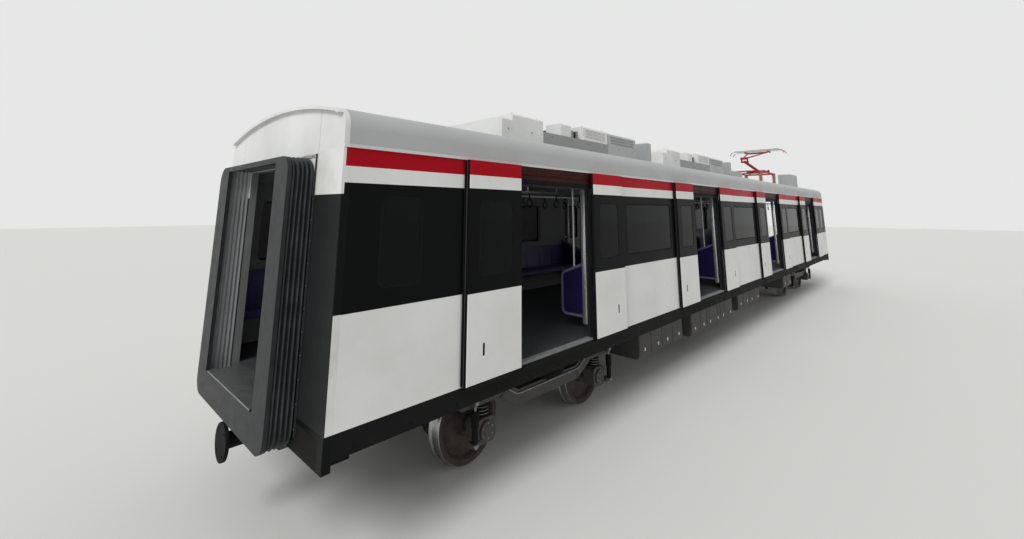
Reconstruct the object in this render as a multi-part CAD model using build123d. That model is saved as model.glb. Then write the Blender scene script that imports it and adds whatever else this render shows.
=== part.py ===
from build123d import *
import os
from math import cos, sin, radians

# A metro trailer car with four doorways a side and a roof collector, in millimetres.
# X runs along the car with the front at +X, Y points to the left side, Z is up.
# The origin is on the floor under the middle of the car, at the wheel flanges' lowest line.

# Running gear heights
flange_depth = 28            # flange below the top of the rail
tread_radius = 430
rail = flange_depth          # height of the rail's top
axle_z = rail + tread_radius

# Car body
body_length = 20000
body_width = 3000
wall = 80                    # side wall, skin to lining
end_wall = 70
headstock_drop = 70          # headstock below the sole bars
sill_bottom = rail + 950
sill_top = rail + 1130
sole_bar_depth = 90
floor_top = rail + 1150
floor_thick = 60
floor_bottom = floor_top - floor_thick
cross_members = 14
member_foot = sill_bottom + 40
bolster_half = 320
bolster_foot = sill_bottom + 12
waist = rail + 1957          # foot of the window band
door_head = rail + 3040
eaves = rail + 3245
cove_foot = rail + 3410      # the side runs straight up to here
cove_radius = 180
crown = rail + 3740
shell = 55                   # roof thickness
gutter_depth = 12
gutter_height = 28
roof_lip = 40                # flange that stands out over each end of the roof
roof_lip_thick = 30
roof_lip_foot = rail + 3535
end_joint = 470              # bolted joint of an end wall, from the side
seat_gap = 0.3               # gap where a loose or curved piece seats
joint = 3                    # visible joint between two panels

half = body_length / 2
side = body_width / 2

# Doorways
doorways = 4
door_pitch = 4820
door_clear = 1400
post_width = 60
leaf_overlap = 80            # how far a closed leaf laps over its post
leaf_thick = 40
leaf_standoff = 20           # between the side and the back of a leaf
leaf_bottom = rail + 1140
leaf_top = eaves
meeting_gap = 6              # between the two closed leaves
leaf_travel = door_clear / 2 - meeting_gap / 2
pull_from_edge = 560         # pull slot of a leaf, from its meeting edge
pull_width = 26
pull_height = 120
pull_depth = 10
pull_foot = rail + 1370
track_depth = 12
track_z = rail + 3150
track_height = 36
guide_depth = leaf_standoff + leaf_thick + 2
guide_height = 24

# Windows: z of the glass and how it is held
glass_bottom = rail + 2110
glass_top = rail + 2850
glass_thick = 8
glass_recess = 4
glass_corner = 70
bay_window = 1500            # long window between two doorways
end_window = 420             # small window beside a car end
end_window_from_end = 370
leaf_window = 500

# Inside
screen_offset = 150          # middle of a draught screen, from a door post
screen_depth = 560
screen_thick = 34
screen_rim = 34              # frame round a screen's panel
screen_panel = 12
screen_corner = 90
screen_foot = floor_top + 170
screen_top = floor_top + 960  # where a screen meets the side
screen_slope = 220           # fall of a screen's top edge
pole_radius = 17
pole_inset = 340             # poles that stand on the screens, from the lining
rail_y = 620                 # rail under the ceiling
rail_z = floor_top + 1850
rail_from_end = 900
rail_hangers = 9
hanger_radius = 12

# Gangway
passage_half = 700
passage_top = floor_top + 2000
bellows_half = 990
bellows_top = rail + 3200
bellows_foot = rail + 880
bellows_inner_half = 745
bellows_inner_foot = floor_top - 70
bellows_inner_top = passage_top + 40
bellows_depth = 195
bellows_folds = 5
fold_depth = 45
fold_corner = 150
frame_depth = 35
bridge_thick = 14
bridge_half = 640

# Half drawbars
coupler_flange_radius = 160
coupler_pcd = 250
coupler_bolts = 4
coupler_hole_radius = 14

# Bogies
pivot_from_end = 3100
wheelbase = 2200
bogie_room = 900             # kept free of cases under the floor, from an axle
back_to_back = 1358
tyre_width = 135
flange_thick = 32
axle_radius = 85
journal_radius = 60
journal_y = 1000
journal_root = 108           # where a journal begins, inwards of journal_y
side_beam_width = 160
beam_half = 1430
beam_rise = (820, 900)       # where a side beam's raised ends begin, above and below
beam_dip = (560, 600)        # where its middle is level, above and below
beam_low = rail + 520
beam_mid = rail + 690
beam_high = rail + 800
transom_x = 260
transom_radius = 80
disc_y = 350
disc_half = 50
disc_radius = 290
pad_clearance = 8            # between a disc and its brake jaw
jaw_half = 95
jaw_outside = 45             # a jaw beyond and within the disc's edge
jaw_inside = 80
axlebox_size = (270, 250, 60)  # length, height, corner radius
axlebox_inner = 85           # an axlebox, inwards and outwards of journal_y
axlebox_outer = 95
axlebox_spring_radius = 75
axlebox_cover = (95, 20)     # radius and thickness
pivot_pin_radius = 90
pivot_clearance = 0.5
air_spring_radius = 250
air_spring_feet = (150, 190)  # radius of the plates below and above

# Air units and boxes on the roof, from the rear end of the body
unit_starts = (2400, 7100)
unit_length = 3550
unit_half = 900
tray_top = rail + 3860
# sections of a unit, along it: (from, to, top, half width kept open in the middle)
unit_sections = [
    (0, 205, rail + 3955, 0),
    (200, 840, rail + 4030, 0),
    (1270, 1520, rail + 4050, 600),
    (1850, 2570, rail + 4080, 0),
    (2600, 3550, rail + 4060, 0),
]
louvred_sections = (3, 4)
fan_section = 4
fan_radius = 320
fan_depth = 120
fan_y = 430
louvre_pitch = 48
louvre_height = 26
louvre_depth = 14
junction_offset = 4030       # a unit's junction boxes, from its start
junction_size = (150, 380)   # length and width

# Collector on the roof
mast_from_end = 2600         # lower pivot, from the front end of the body
base_setback = 850           # middle of the base frame, behind the lower pivot
collector_base = (1050, 500)  # half length and half width of the base frame
insulator_radius = 70
arm_length = 1750
arm_rest_angle = 12          # of the lower arm above level
mast_z = rail + 4250
base_z = mast_z - 90
strip_half = 780
strip_rise = 95              # top of the contact strips above the head's pivot
breaker_gap = 770            # between the last junction boxes and the breaker case
breaker_size = (1500, 500, rail + 3950)   # length, half width, top
switch_from_end = (900, 1850)             # x limits of the switch box, back from the front end
switch_y = (450, 900)
switch_top = rail + 4150
arm_radius = 38
hinge_radius = 30
hinge_clearance = 0.1
knee_drop = 110              # lower tube below the line of its pivots, at the knee
knee_fork = 98
knee_pin_radius = 22
head_fork = 330
head_step = 90
head_pin_radius = 16

pivot_x = half - pivot_from_end
mast_x = half - mast_from_end
door_centres = [(i - (doorways - 1) / 2) * door_pitch for i in range(doorways)]


def block(x0, x1, y0, y1, z0, z1):
    return Pos((x0 + x1) / 2, (y0 + y1) / 2, (z0 + z1) / 2) * Box(x1 - x0, y1 - y0, z1 - z0)


def along_x(face, x0, x1):
    # a face drawn as (Y, Z), drawn out from x0 to x1
    return extrude(Plane.YZ.offset(x0) * face, amount=x1 - x0)


def along_y(face, y0, y1):
    # a face drawn as (X, Z), drawn out from y0 to y1
    plane = Plane(origin=(0, y0, 0), x_dir=(1, 0, 0), z_dir=(0, -1, 0))
    return extrude(plane * face, amount=y1 - y0, dir=(0, 1, 0))


def polygon(points):
    return make_face(Polyline(*points, close=True))


def rod(start, end, radius):
    start, end = Vector(start), Vector(end)
    run = end - start
    return extrude(Plane(origin=start, z_dir=run) * Circle(radius), amount=run.length)


def both_sides(make):
    # make(-1) is the right side, make(1) the left
    return [make(-1), make(1)]


def bays():
    # x limits of the side between the doorways, with the car ends
    edges = [-half + end_wall]
    for centre in door_centres:
        edges += [centre - door_clear / 2 - post_width, centre + door_clear / 2 + post_width]
    edges.append(half - end_wall)
    return list(zip(edges[::2], edges[1::2]))


def window_of(index):
    # x limits of the glass in a bay
    x0, x1 = bays()[index]
    if index == 0:
        return -half + end_window_from_end, -half + end_window_from_end + end_window
    if index == doorways:
        return half - end_window_from_end - end_window, half - end_window_from_end
    middle = (x0 + x1) / 2
    return middle - bay_window / 2, middle + bay_window / 2


def pane_face(x0, x1, grow=0.0):
    size = (x1 - x0 + 2 * grow, glass_top - glass_bottom + 2 * grow)
    place = Pos((x0 + x1) / 2, (glass_bottom + glass_top) / 2)
    return place * RectangleRounded(*size, glass_corner + grow)


def roof_face(grow=0.0):
    # the roof's cross-section: straight sides, a cove on each and one crown arc, tangent where they meet
    drop = crown - cove_foot
    inset = side - cove_radius
    # the crown arc's centre is on the middle plane, and its circle touches the cove's circle
    crown_radius = (inset**2 + drop**2 - cove_radius**2) / (2 * (drop - cove_radius))
    centre_z = crown - crown_radius
    share = (crown_radius + grow) / (crown_radius - cove_radius)
    touch = (inset * share, centre_z + (cove_foot - centre_z) * share)
    mid_angle = radians(35)
    cove = cove_radius + grow
    cove_mid = (inset + cove * cos(mid_angle), cove_foot + cove * sin(mid_angle))
    edge = side + grow
    edges = [
        Line((-edge, eaves), (edge, eaves)),
        Line((edge, eaves), (edge, cove_foot)),
        ThreePointArc((edge, cove_foot), cove_mid, touch),
        ThreePointArc(touch, (0, crown + grow), (-touch[0], touch[1])),
        ThreePointArc((-touch[0], touch[1]), (-cove_mid[0], cove_mid[1]), (-edge, cove_foot)),
        Line((-edge, cove_foot), (-edge, eaves)),
    ]
    return make_face(edges)


def on_roof(solid, skirt):
    # what stands on the roof is cut to its curve, seated a hair above it
    low = solid.bounding_box()
    cutter = along_x(roof_face(seat_gap), low.min.X - skirt, low.max.X + skirt)
    return solid - cutter


def sole_bars():
    inner = side - sole_bar_depth
    web = 12

    def bar(hand):
        section = polygon([
            (hand * side, sill_bottom), (hand * side, sill_top), (hand * inner, sill_top),
            (hand * inner, sill_top - web), (hand * (side - web), sill_top - web),
            (hand * (side - web), sill_bottom + web), (hand * inner, sill_bottom + web),
            (hand * inner, sill_bottom),
        ])
        solid = along_x(section, -half + end_wall, half - end_wall)
        for centre in door_centres:
            reach = door_clear + leaf_overlap
            low, high = sorted((hand * (side - web / 2), hand * (side + guide_depth)))
            solid += block(centre - reach, centre + reach, low, high, sill_top - guide_height, sill_top)
        for end in (-1, 1):
            low, high = sorted((hand * (side - web), hand * inner))
            pad_x = end * (pivot_x - wheelbase)
            solid += block(pad_x - 150, pad_x + 150, low, high, sill_bottom, sill_top - web)
        return solid

    return both_sides(bar)


def member_x(i):
    # place of the floor's cross-members between the two bolsters
    reach = pivot_x - bolster_half - 250
    return -reach + 2 * reach * i / (cross_members - 1)


def case_x(share):
    # place under the floor between the bogies, from -1 to 1
    return share * (pivot_x - wheelbase / 2 - bogie_room)


def underframe():
    inner = side - sole_bar_depth
    top = floor_bottom
    solids = []
    for end in (-1, 1):
        # headstock under the end wall, with the coupler pocket below the gangway
        low, high = sorted((end * half, end * (half - 260)))
        headstock = block(low, high, -inner, inner, sill_bottom - headstock_drop, top)
        low, high = sorted((end * half, end * (half - end_wall)))
        headstock += block(low, high, -bridge_half, bridge_half, top - 1, floor_top - bridge_thick)
        solids.append(headstock)
        # bolster with the centre pin that the bogie turns on
        bolster = block(end * pivot_x - bolster_half, end * pivot_x + bolster_half, -inner, inner,
                        bolster_foot, top)
        x = end * pivot_x
        bolster += rod((x, 0, beam_mid - 60), (x, 0, bolster_foot + 10), pivot_pin_radius)
        solids.append(bolster)
    for i in range(cross_members):
        x = member_x(i)
        solids.append(block(x - 30, x + 30, -inner, inner, member_foot, top))
    return solids


def floor_plate():
    # the plate lies on the underframe, and its edges lap over the sole bars
    inner = side - sole_bar_depth
    plate = block(-half + end_wall, half - end_wall, -inner, inner, floor_bottom, floor_top)
    for hand in (-1, 1):
        low, high = sorted((hand * (inner - 1), hand * (side - wall)))
        plate += block(-half + end_wall, half - end_wall, low, high, sill_top, floor_top)
    return [plate]


def door_tracks():
    # a ribbed threshold in each doorway and a hanging track above it
    solids = []
    for hand in (-1, 1):
        for centre in door_centres:
            low, high = sorted((hand * (side - wall), hand * (side - 2)))
            x0, x1 = centre - door_clear / 2, centre + door_clear / 2
            tread = block(x0, x1, low, high, sill_top, floor_top + 4)
            for k in range(4):
                y = hand * (side - 16 - 16 * k)
                tread -= block(x0, x1, y - 4, y + 4, floor_top, floor_top + 5)
            solids.append(tread)
            reach = door_clear + leaf_overlap
            low, high = sorted((hand * side, hand * (side + track_depth)))
            solids.append(block(centre - reach, centre + reach, low, high, track_z, track_z + track_height))
    return solids


def side_panels():
    solids = []
    for hand in (-1, 1):
        low, high = sorted((hand * (side - wall), hand * side))
        for x0, x1 in bays():
            solids.append(block(x0, x1, low, high, sill_top, waist - joint))
    return solids


def window_bands():
    solids = []
    for hand in (-1, 1):
        low, high = sorted((hand * (side - wall), hand * side))
        for index, (x0, x1) in enumerate(bays()):
            panel = block(x0, x1, low, high, waist, door_head)
            panel -= along_y(pane_face(*window_of(index)), low - 1, high + 1)
            solids.append(panel)
    return solids


def side_glass():
    solids = []
    for hand in (-1, 1):
        low, high = sorted((hand * (side - glass_recess), hand * (side - glass_recess - glass_thick)))
        for index in range(doorways + 1):
            solids.append(along_y(pane_face(*window_of(index), -seat_gap), low, high))
    return solids


def cantrails():
    def rail_of(hand):
        low, high = sorted((hand * (side - wall), hand * side))
        return block(-half + end_wall, half - end_wall, low, high, door_head, eaves)

    return both_sides(rail_of)


def roof():
    shape = along_x(roof_face(), -half, half)
    shape -= along_x(roof_face(-shell), -half + end_wall, half - end_wall)
    for hand in (-1, 1):
        low, high = sorted((hand * (side - 1), hand * (side + gutter_depth)))
        shape += block(-half, half, low, high, eaves, eaves + gutter_height)
    lip_face = roof_face() - roof_face(-roof_lip_thick)
    for end in (-1, 1):
        lip = along_x(lip_face, *sorted((end * (half - 1), end * (half + roof_lip))))
        lip -= block(*sorted((end * (half - 2), end * (half + roof_lip + 1))), -side - 1, side + 1,
                     eaves - 1, roof_lip_foot)
        shape += lip
        for hand in (-1, 1):
            shape -= end_groove(end, hand, eaves, crown)
    return [shape]


def ceiling():
    lip, flat, rise, thick = side - wall, 950, 130, 16
    z = door_head + 30
    section = polygon([
        (-lip, z), (-flat, z + rise), (flat, z + rise), (lip, z), (lip, z + thick),
        (flat, z + rise + thick), (-flat, z + rise + thick), (-lip, z + thick),
    ])
    return [along_x(section, -half + end_wall, half - end_wall)]


def end_groove(end, hand, z0, z1):
    # groove of the bolted joint beside the gangway
    width, depth = 8, 6
    y = hand * (side - end_joint)
    low, high = sorted((end * half, end * (half - depth)))
    return block(low, high, y - width / 2, y + width / 2, z0, z1)


def end_walls():
    solids = []
    for end in (-1, 1):
        low, high = sorted((end * half, end * (half - end_wall)))
        for hand in (-1, 1):
            y0, y1 = sorted((hand * side, hand * passage_half))
            panel = block(low, high, y0, y1, sill_top, eaves)
            panel += block(low, high, *sorted((hand * side, hand * (side - sole_bar_depth))),
                           sill_bottom - headstock_drop, sill_top)
            panel += block(low, high, y0, y1, floor_bottom, sill_top)
            solids.append(panel - end_groove(end, hand, sill_top, eaves))
        solids.append(block(low, high, -passage_half + joint, passage_half - joint, passage_top, eaves))
    return solids


def bellows():
    # folded ring around the passage, each fold two tapered stretches
    step = bellows_depth / (2 * bellows_folds)
    height = bellows_top - bellows_foot
    middle_z = (bellows_top + bellows_foot) / 2
    inner_h = bellows_inner_top - bellows_inner_foot
    inner_z = (bellows_inner_top + bellows_inner_foot) / 2
    solids = []
    for end in (-1, 1):
        ring = None
        for k in range(bellows_folds):
            ridge = RectangleRounded(2 * bellows_half, height, fold_corner)
            valley = RectangleRounded(2 * (bellows_half - fold_depth), height - 2 * fold_depth,
                                      fold_corner - fold_depth)
            x = end * (half + 2 * step * k)
            places = [x, x + end * step, x + end * 2 * step]
            for a, b, first in ((places[0], places[1], valley), (places[1], places[2], ridge)):
                second = ridge if first is valley else valley
                faces = [Plane.YZ.offset(a) * Pos(0, middle_z) * first,
                         Plane.YZ.offset(b) * Pos(0, middle_z) * second]
                piece = loft(Sketch() + faces)
                ring = piece if ring is None else ring + piece
        hole = Pos(0, inner_z) * Rectangle(2 * bellows_inner_half, inner_h)
        low, high = sorted((end * (half - 1), end * (half + bellows_depth + 1)))
        solids.append(ring - along_x(hole, low, high))
    return solids


def gangway_frames():
    solids = []
    for end in (-1, 1):
        low, high = sorted((end * (half + bellows_depth), end * (half + bellows_depth + frame_depth)))
        outer = Pos(0, (bellows_top + bellows_foot) / 2) * RectangleRounded(
            2 * bellows_half, bellows_top - bellows_foot, fold_corner)
        hole_foot = floor_top - bridge_thick
        hole = Pos(0, (passage_top + hole_foot) / 2) * Rectangle(2 * passage_half, passage_top - hole_foot)
        solids.append(along_x(outer - hole, low, high))
    return solids


def bridge_plates():
    solids = []
    for end in (-1, 1):
        low, high = sorted((end * (half - end_wall), end * (half + bellows_depth + frame_depth)))
        solids.append(block(low, high, -bridge_half, bridge_half, floor_top - bridge_thick, floor_top))
    return solids


def door_posts():
    solids = []
    for hand in (-1, 1):
        low, high = sorted((hand * (side - wall), hand * side))
        for centre in door_centres:
            for way in (-1, 1):
                x0, x1 = sorted((centre + way * door_clear / 2, centre + way * (door_clear / 2 + post_width)))
                solids.append(block(x0, x1, low, high, sill_top, door_head))
    return solids


def leaf(centre, hand, way, opened):
    # one door leaf with its pane; way is the direction it opens in
    width = door_clear / 2 + leaf_overlap - meeting_gap / 2
    start = meeting_gap / 2 + (leaf_travel if opened else 0)
    x0, x1 = sorted((centre + way * start, centre + way * (start + width)))
    near, far = side + leaf_standoff, side + leaf_standoff + leaf_thick
    low, high = sorted((hand * near, hand * far))
    plate = block(x0, x1, low, high, leaf_bottom, leaf_top)
    plate = fillet(plate.edges().filter_by(Axis.Z).group_by(Axis.Y)[0 if hand < 0 else -1], 10)
    middle = (x0 + x1) / 2
    window = (middle - leaf_window / 2, middle + leaf_window / 2)
    plate -= along_y(pane_face(*window), low - 1, high + 1)
    # pull slot near the opening edge
    pull_x = centre + way * (start + pull_from_edge)
    slot_low, slot_high = sorted((hand * (far - pull_depth), hand * (far + 1)))
    plate -= block(pull_x - pull_width / 2, pull_x + pull_width / 2, slot_low, slot_high,
                   pull_foot, pull_foot + pull_height)
    # two hangers that run on the track
    hang_low, hang_high = sorted((hand * (side + 5), hand * near))
    for shift in (-0.3, 0.3):
        x = middle + shift * width
        top = track_z + track_height
        plate += block(x - 35, x + 35, hang_low, hang_high, top + seat_gap, top + 30)
    glass_y = sorted((hand * (far - glass_recess), hand * (far - glass_recess - glass_thick)))
    pane = along_y(pane_face(*window, -seat_gap), *glass_y)
    return [plate, pane]


def seats():
    # moulded bench sections between the doorways, back against the side, with a groove between seats;
    # the section's columns are the distance from the side and the height over the bench's foot
    section = [(0, 0), (0, 520), (45, 520), (85, 130), (120, 95), (430, 120), (455, 95),
               (455, 45), (380, 20), (150, 0)]
    lift, setback = floor_top + 330, side - wall
    seat_width, groove, groove_depth = 440, 16, 30
    solids = []
    for hand in (-1, 1):
        for index, (x0, x1) in enumerate(bays()):
            x0 += 60 if index == 0 else screen_offset + screen_thick / 2 + 20
            x1 -= 60 if index == doorways else screen_offset + screen_thick / 2 + 20
            face = polygon([(hand * (setback - d), lift + z) for d, z in section])
            bench = along_x(face, x0, x1)
            places = max(1, round((x1 - x0) / seat_width))
            for k in range(1, places):
                x = x0 + k * (x1 - x0) / places
                y0, y1 = sorted((hand * (setback - 85 + groove_depth), hand * (setback - 460)))
                bench -= block(x - groove / 2, x + groove / 2, y0, y1, lift + 120 - groove_depth, lift + 521)
            solids.append(bench)
    return solids


def screen_places():
    # x of the draught screens, one at each seat end beside a doorway
    reach = door_clear / 2 + post_width + screen_offset
    return [centre + way * reach for centre in door_centres for way in (-1, 1)]


def screen_face(hand, inset=0.0):
    inner = side - wall
    face = polygon([
        (hand * inner, screen_foot), (hand * inner, screen_top),
        (hand * (inner - screen_depth), screen_top - screen_slope),
        (hand * (inner - screen_depth), screen_foot),
    ])
    face = fillet(face.vertices().sort_by(lambda v: abs(v.X))[:2], screen_corner)
    return offset(face, -inset) if inset else face


def screens():
    # a frame with a thinner panel in it
    solids = []
    for hand in (-1, 1):
        outline, opening = screen_face(hand), screen_face(hand, screen_rim)
        for x in screen_places():
            screen = along_x(outline, x - screen_thick / 2, x + screen_thick / 2)
            screen -= along_x(opening, x - screen_thick / 2 - 1, x - screen_panel / 2)
            screen -= along_x(opening, x + screen_panel / 2, x + screen_thick / 2 + 1)
            solids.append(screen)
    return solids


def grab_rails():
    # poles from the screens to the ceiling, their feet cut to the screens' slope,
    # and a rail under the ceiling on each side
    solids = []
    ceiling_z, ceiling_rise, ceiling_flat = door_head + 30, 130, 950
    for hand in (-1, 1):
        inner = side - wall
        y = hand * (inner - pole_inset)
        under = ceiling_rise * (pole_inset - pole_radius) / (inner - ceiling_flat)
        top = ceiling_z + min(under, ceiling_rise) - seat_gap
        for x in screen_places():
            pole = rod((x, y, screen_top - screen_slope), (x, y, top), pole_radius)
            pole -= along_x(screen_face(hand), x - pole_radius - 1, x + pole_radius + 1)
            solids.append(pole)
        rail_end = half - rail_from_end
        y, hanger_top = hand * rail_y, ceiling_z + ceiling_rise
        handrail = rod((-rail_end, y, rail_z), (rail_end, y, rail_z), pole_radius)
        for k in range(rail_hangers):
            x = -rail_end + 60 + k * (2 * rail_end - 120) / (rail_hangers - 1)
            handrail += rod((x, y, rail_z), (x, y, hanger_top), hanger_radius)
        solids.append(handrail)
    return solids


def equipment_cases():
    # cases hung under the floor: from and to as case_x takes them, y from, y to, depth
    table = [
        (-1.0, -0.67, -1250, -250, 520),
        (-1.0, -0.76, 150, 1250, 480),
        (-0.59, -0.12, -1250, 1250, 560),
        (-0.04, 0.31, -1250, -150, 500),
        (-0.04, 0.22, 150, 1250, 540),
        (0.8, 1.0, -1250, 1250, 500),
    ]
    hang = member_foot
    solids = []
    for start, stop, y0, y1, depth in table:
        x0, x1 = case_x(start), case_x(stop)
        case = block(x0, x1, y0, y1, hang - depth, hang - 40)
        case = chamfer(case.edges().filter_by(Axis.X).group_by(Axis.Z)[0], 40)
        for y in (y0 + 60, y1 - 60):
            case += block(x0, x1, y - 25, y + 25, hang - 40, hang)
        ribs = int((x1 - x0) / 400)
        for k in range(1, ribs):
            x = x0 + k * (x1 - x0) / ribs
            case += block(x - 12, x + 12, y0 - 10, y1 + 10, hang - depth + 60, hang - 70)
        solids.append(case)
    return solids


def air_tanks():
    # three tanks strapped up to two of the cross-members
    radius, overhang = 150, 200
    z = member_foot - radius - 40
    x0, x1 = member_x(9), member_x(10)
    solids = []
    for y in (-800, -400, 250):
        tank = rod((x0 - overhang, y, z), (x1 + overhang, y, z), radius)
        tank = fillet(tank.edges(), 60)
        for x in (x0, x1):
            tank += block(x - 20, x + 20, y - 60, y + 60, z, member_foot)
        solids.append(tank)
    return solids


def couplers():
    # half of a fixed drawbar at each end, with a bolted flange
    z = rail + 700
    solids = []
    for end in (-1, 1):
        root_x, tip_x = end * (half - 240), end * (half + bellows_depth + frame_depth)
        bar = rod((root_x, 0, z), (tip_x - end * 30, 0, z), 70)
        flange = rod((tip_x - end * 30, 0, z), (tip_x, 0, z), coupler_flange_radius)
        for k in range(coupler_bolts):
            turn = radians(45 + k * 360 / coupler_bolts)
            y, dz = coupler_pcd / 2 * cos(turn), coupler_pcd / 2 * sin(turn)
            flange -= rod((tip_x - end * 40, y, z + dz), (tip_x + end * 10, y, z + dz), coupler_hole_radius)
        hanger = block(*sorted((root_x, root_x + end * 150)), -110, 110, z - 90, sill_bottom - headstock_drop)
        solids.append(bar + flange + hanger)
    return solids


def louvres(x0, x1, top):
    # cuts in both sides of an air unit's hood, from under its top down to the tray
    end_margin, top_margin = 70, 50
    cuts = []
    z = top - top_margin - louvre_height
    while z > tray_top:
        for hand in (-1, 1):
            low, high = sorted((hand * (unit_half - louvre_depth), hand * (unit_half + 1)))
            cuts.append(block(x0 + end_margin, x1 - end_margin, low, high, z, z + louvre_height))
        z -= louvre_pitch
    return cuts


def fan_guard(x, y, z):
    # two flat rings on four spokes over a fan's well, with the hub on the well's floor
    ring_width, thick = 16, 6
    outer = Pos(x, y, z) * Cylinder(fan_radius * 0.7, thick)
    outer -= Pos(x, y, z) * Cylinder(fan_radius * 0.7 - ring_width, 2 * thick)
    inner = Pos(x, y, z) * Cylinder(fan_radius * 0.35, thick)
    inner -= Pos(x, y, z) * Cylinder(fan_radius * 0.35 - ring_width, 2 * thick)
    guard = outer + inner
    guard += Pos(x, y, z) * Box(2 * fan_radius + 2, ring_width, thick)
    guard += Pos(x, y, z) * Box(ring_width, 2 * fan_radius + 2, thick)
    foot = z - fan_depth
    hub_height = fan_depth - 40
    guard += Pos(x, y, foot + hub_height / 2) * Cylinder(fan_radius * 0.28, hub_height)
    return guard


def hvac_units():
    # each air unit is a tray with hoods, two side boxes and two fans under guards
    bevel = 25
    solids = []
    for unit_start in unit_starts:
        origin = unit_start - half
        unit = block(origin, origin + unit_length, -unit_half, unit_half, crown - 200, tray_top)
        for index, (start, stop, top, open_half) in enumerate(unit_sections):
            x0, x1 = origin + start, origin + stop
            hood = block(x0, x1, -unit_half, unit_half, tray_top - 10, top)
            hood = chamfer(hood.edges().filter_by(Axis.X).group_by(Axis.Z)[-1], bevel)
            if open_half:
                hood -= block(x0, x1, -open_half, open_half, tray_top, top)
            if index in louvred_sections:
                for cut in louvres(x0, x1, top):
                    hood -= cut
            unit += hood
        start, stop, top, _ = unit_sections[fan_section]
        fan_x = origin + (start + stop) / 2
        for y in (-fan_y, fan_y):
            unit -= Pos(fan_x, y, top - fan_depth / 2 + 1) * Cylinder(fan_radius, fan_depth + 2)
            unit += fan_guard(fan_x, y, top - 3)
        solids.append(on_roof(unit, 10))
    return solids


def roof_cases():
    # boxes on the roof: junction boxes beside each unit, the breaker case and the switch box
    boxes = []
    length, width = junction_size
    for unit_start in unit_starts:
        x0 = unit_start + junction_offset - half
        top = unit_sections[fan_section][2]
        boxes += [(x0, x0 + length, -unit_half, -unit_half + width, top),
                  (x0, x0 + length, unit_half - width, unit_half, top)]
    length, breaker_half, top = breaker_size
    x0 = unit_starts[-1] + junction_offset + junction_size[0] + breaker_gap - half
    boxes.append((x0, x0 + length, -breaker_half, breaker_half, top))
    near, far = switch_from_end
    boxes.append((half - far, half - near, -switch_y[1], -switch_y[0], switch_top))
    solids = []
    for x0, x1, y0, y1, top in boxes:
        case = block(x0, x1, y0, y1, crown - 200, top)
        case = chamfer(case.edges().group_by(Axis.Z)[-1], 20)
        solids.append(on_roof(case, 10))
    return solids


def pantograph_base():
    half_x, half_y = collector_base
    bar = 40
    x = mast_x
    middle = mast_x - base_setback
    frame = block(middle - half_x, middle + half_x, half_y - bar, half_y, base_z - bar, base_z)
    frame += block(middle - half_x, middle + half_x, -half_y, -half_y + bar, base_z - bar, base_z)
    for k in (-1, 0, 1):
        cx = middle + k * (half_x - bar)
        frame += block(cx - bar, cx + bar, -half_y + 1, half_y - 1, base_z - bar, base_z)
    # bearing cheeks for the lower arm's shaft
    for hand in (-1, 1):
        y = hand * 330
        cheek = block(x - 50, x + 50, y - 15, y + 15, base_z - 5, mast_z + 50)
        cheek -= rod((x, y - 30, mast_z), (x, y + 30, mast_z), hinge_radius + hinge_clearance)
        frame += cheek
        frame += block(x - 50, x + 50, *sorted((hand * 300, hand * 470)), base_z - bar, base_z)
    frame += block(x - 50, x + 50, -340, 340, base_z - bar, base_z)
    return [frame]


def insulators():
    half_x, half_y = collector_base
    solids = []
    for dx in (-1, 1):
        for hand in (-1, 1):
            x, y = mast_x - base_setback + dx * (half_x - 180), hand * (half_y - 20)
            low, high = crown - 60, base_z - 40
            body = rod((x, y, low), (x, y, high), insulator_radius * 0.6)
            sheds, shed_pitch = 7, 45
            for k in range(sheds):
                z = high - 25 - k * shed_pitch
                body += rod((x, y, z - 8), (x, y, z + 8), insulator_radius)
            solids.append(on_roof(body, 10))
    return solids


def knee_point():
    a = radians(arm_rest_angle)
    return mast_x - arm_length * cos(a), mast_z + arm_length * sin(a)


def head_point():
    a = radians(arm_rest_angle)
    return mast_x, mast_z + 2 * arm_length * sin(a)


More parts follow.
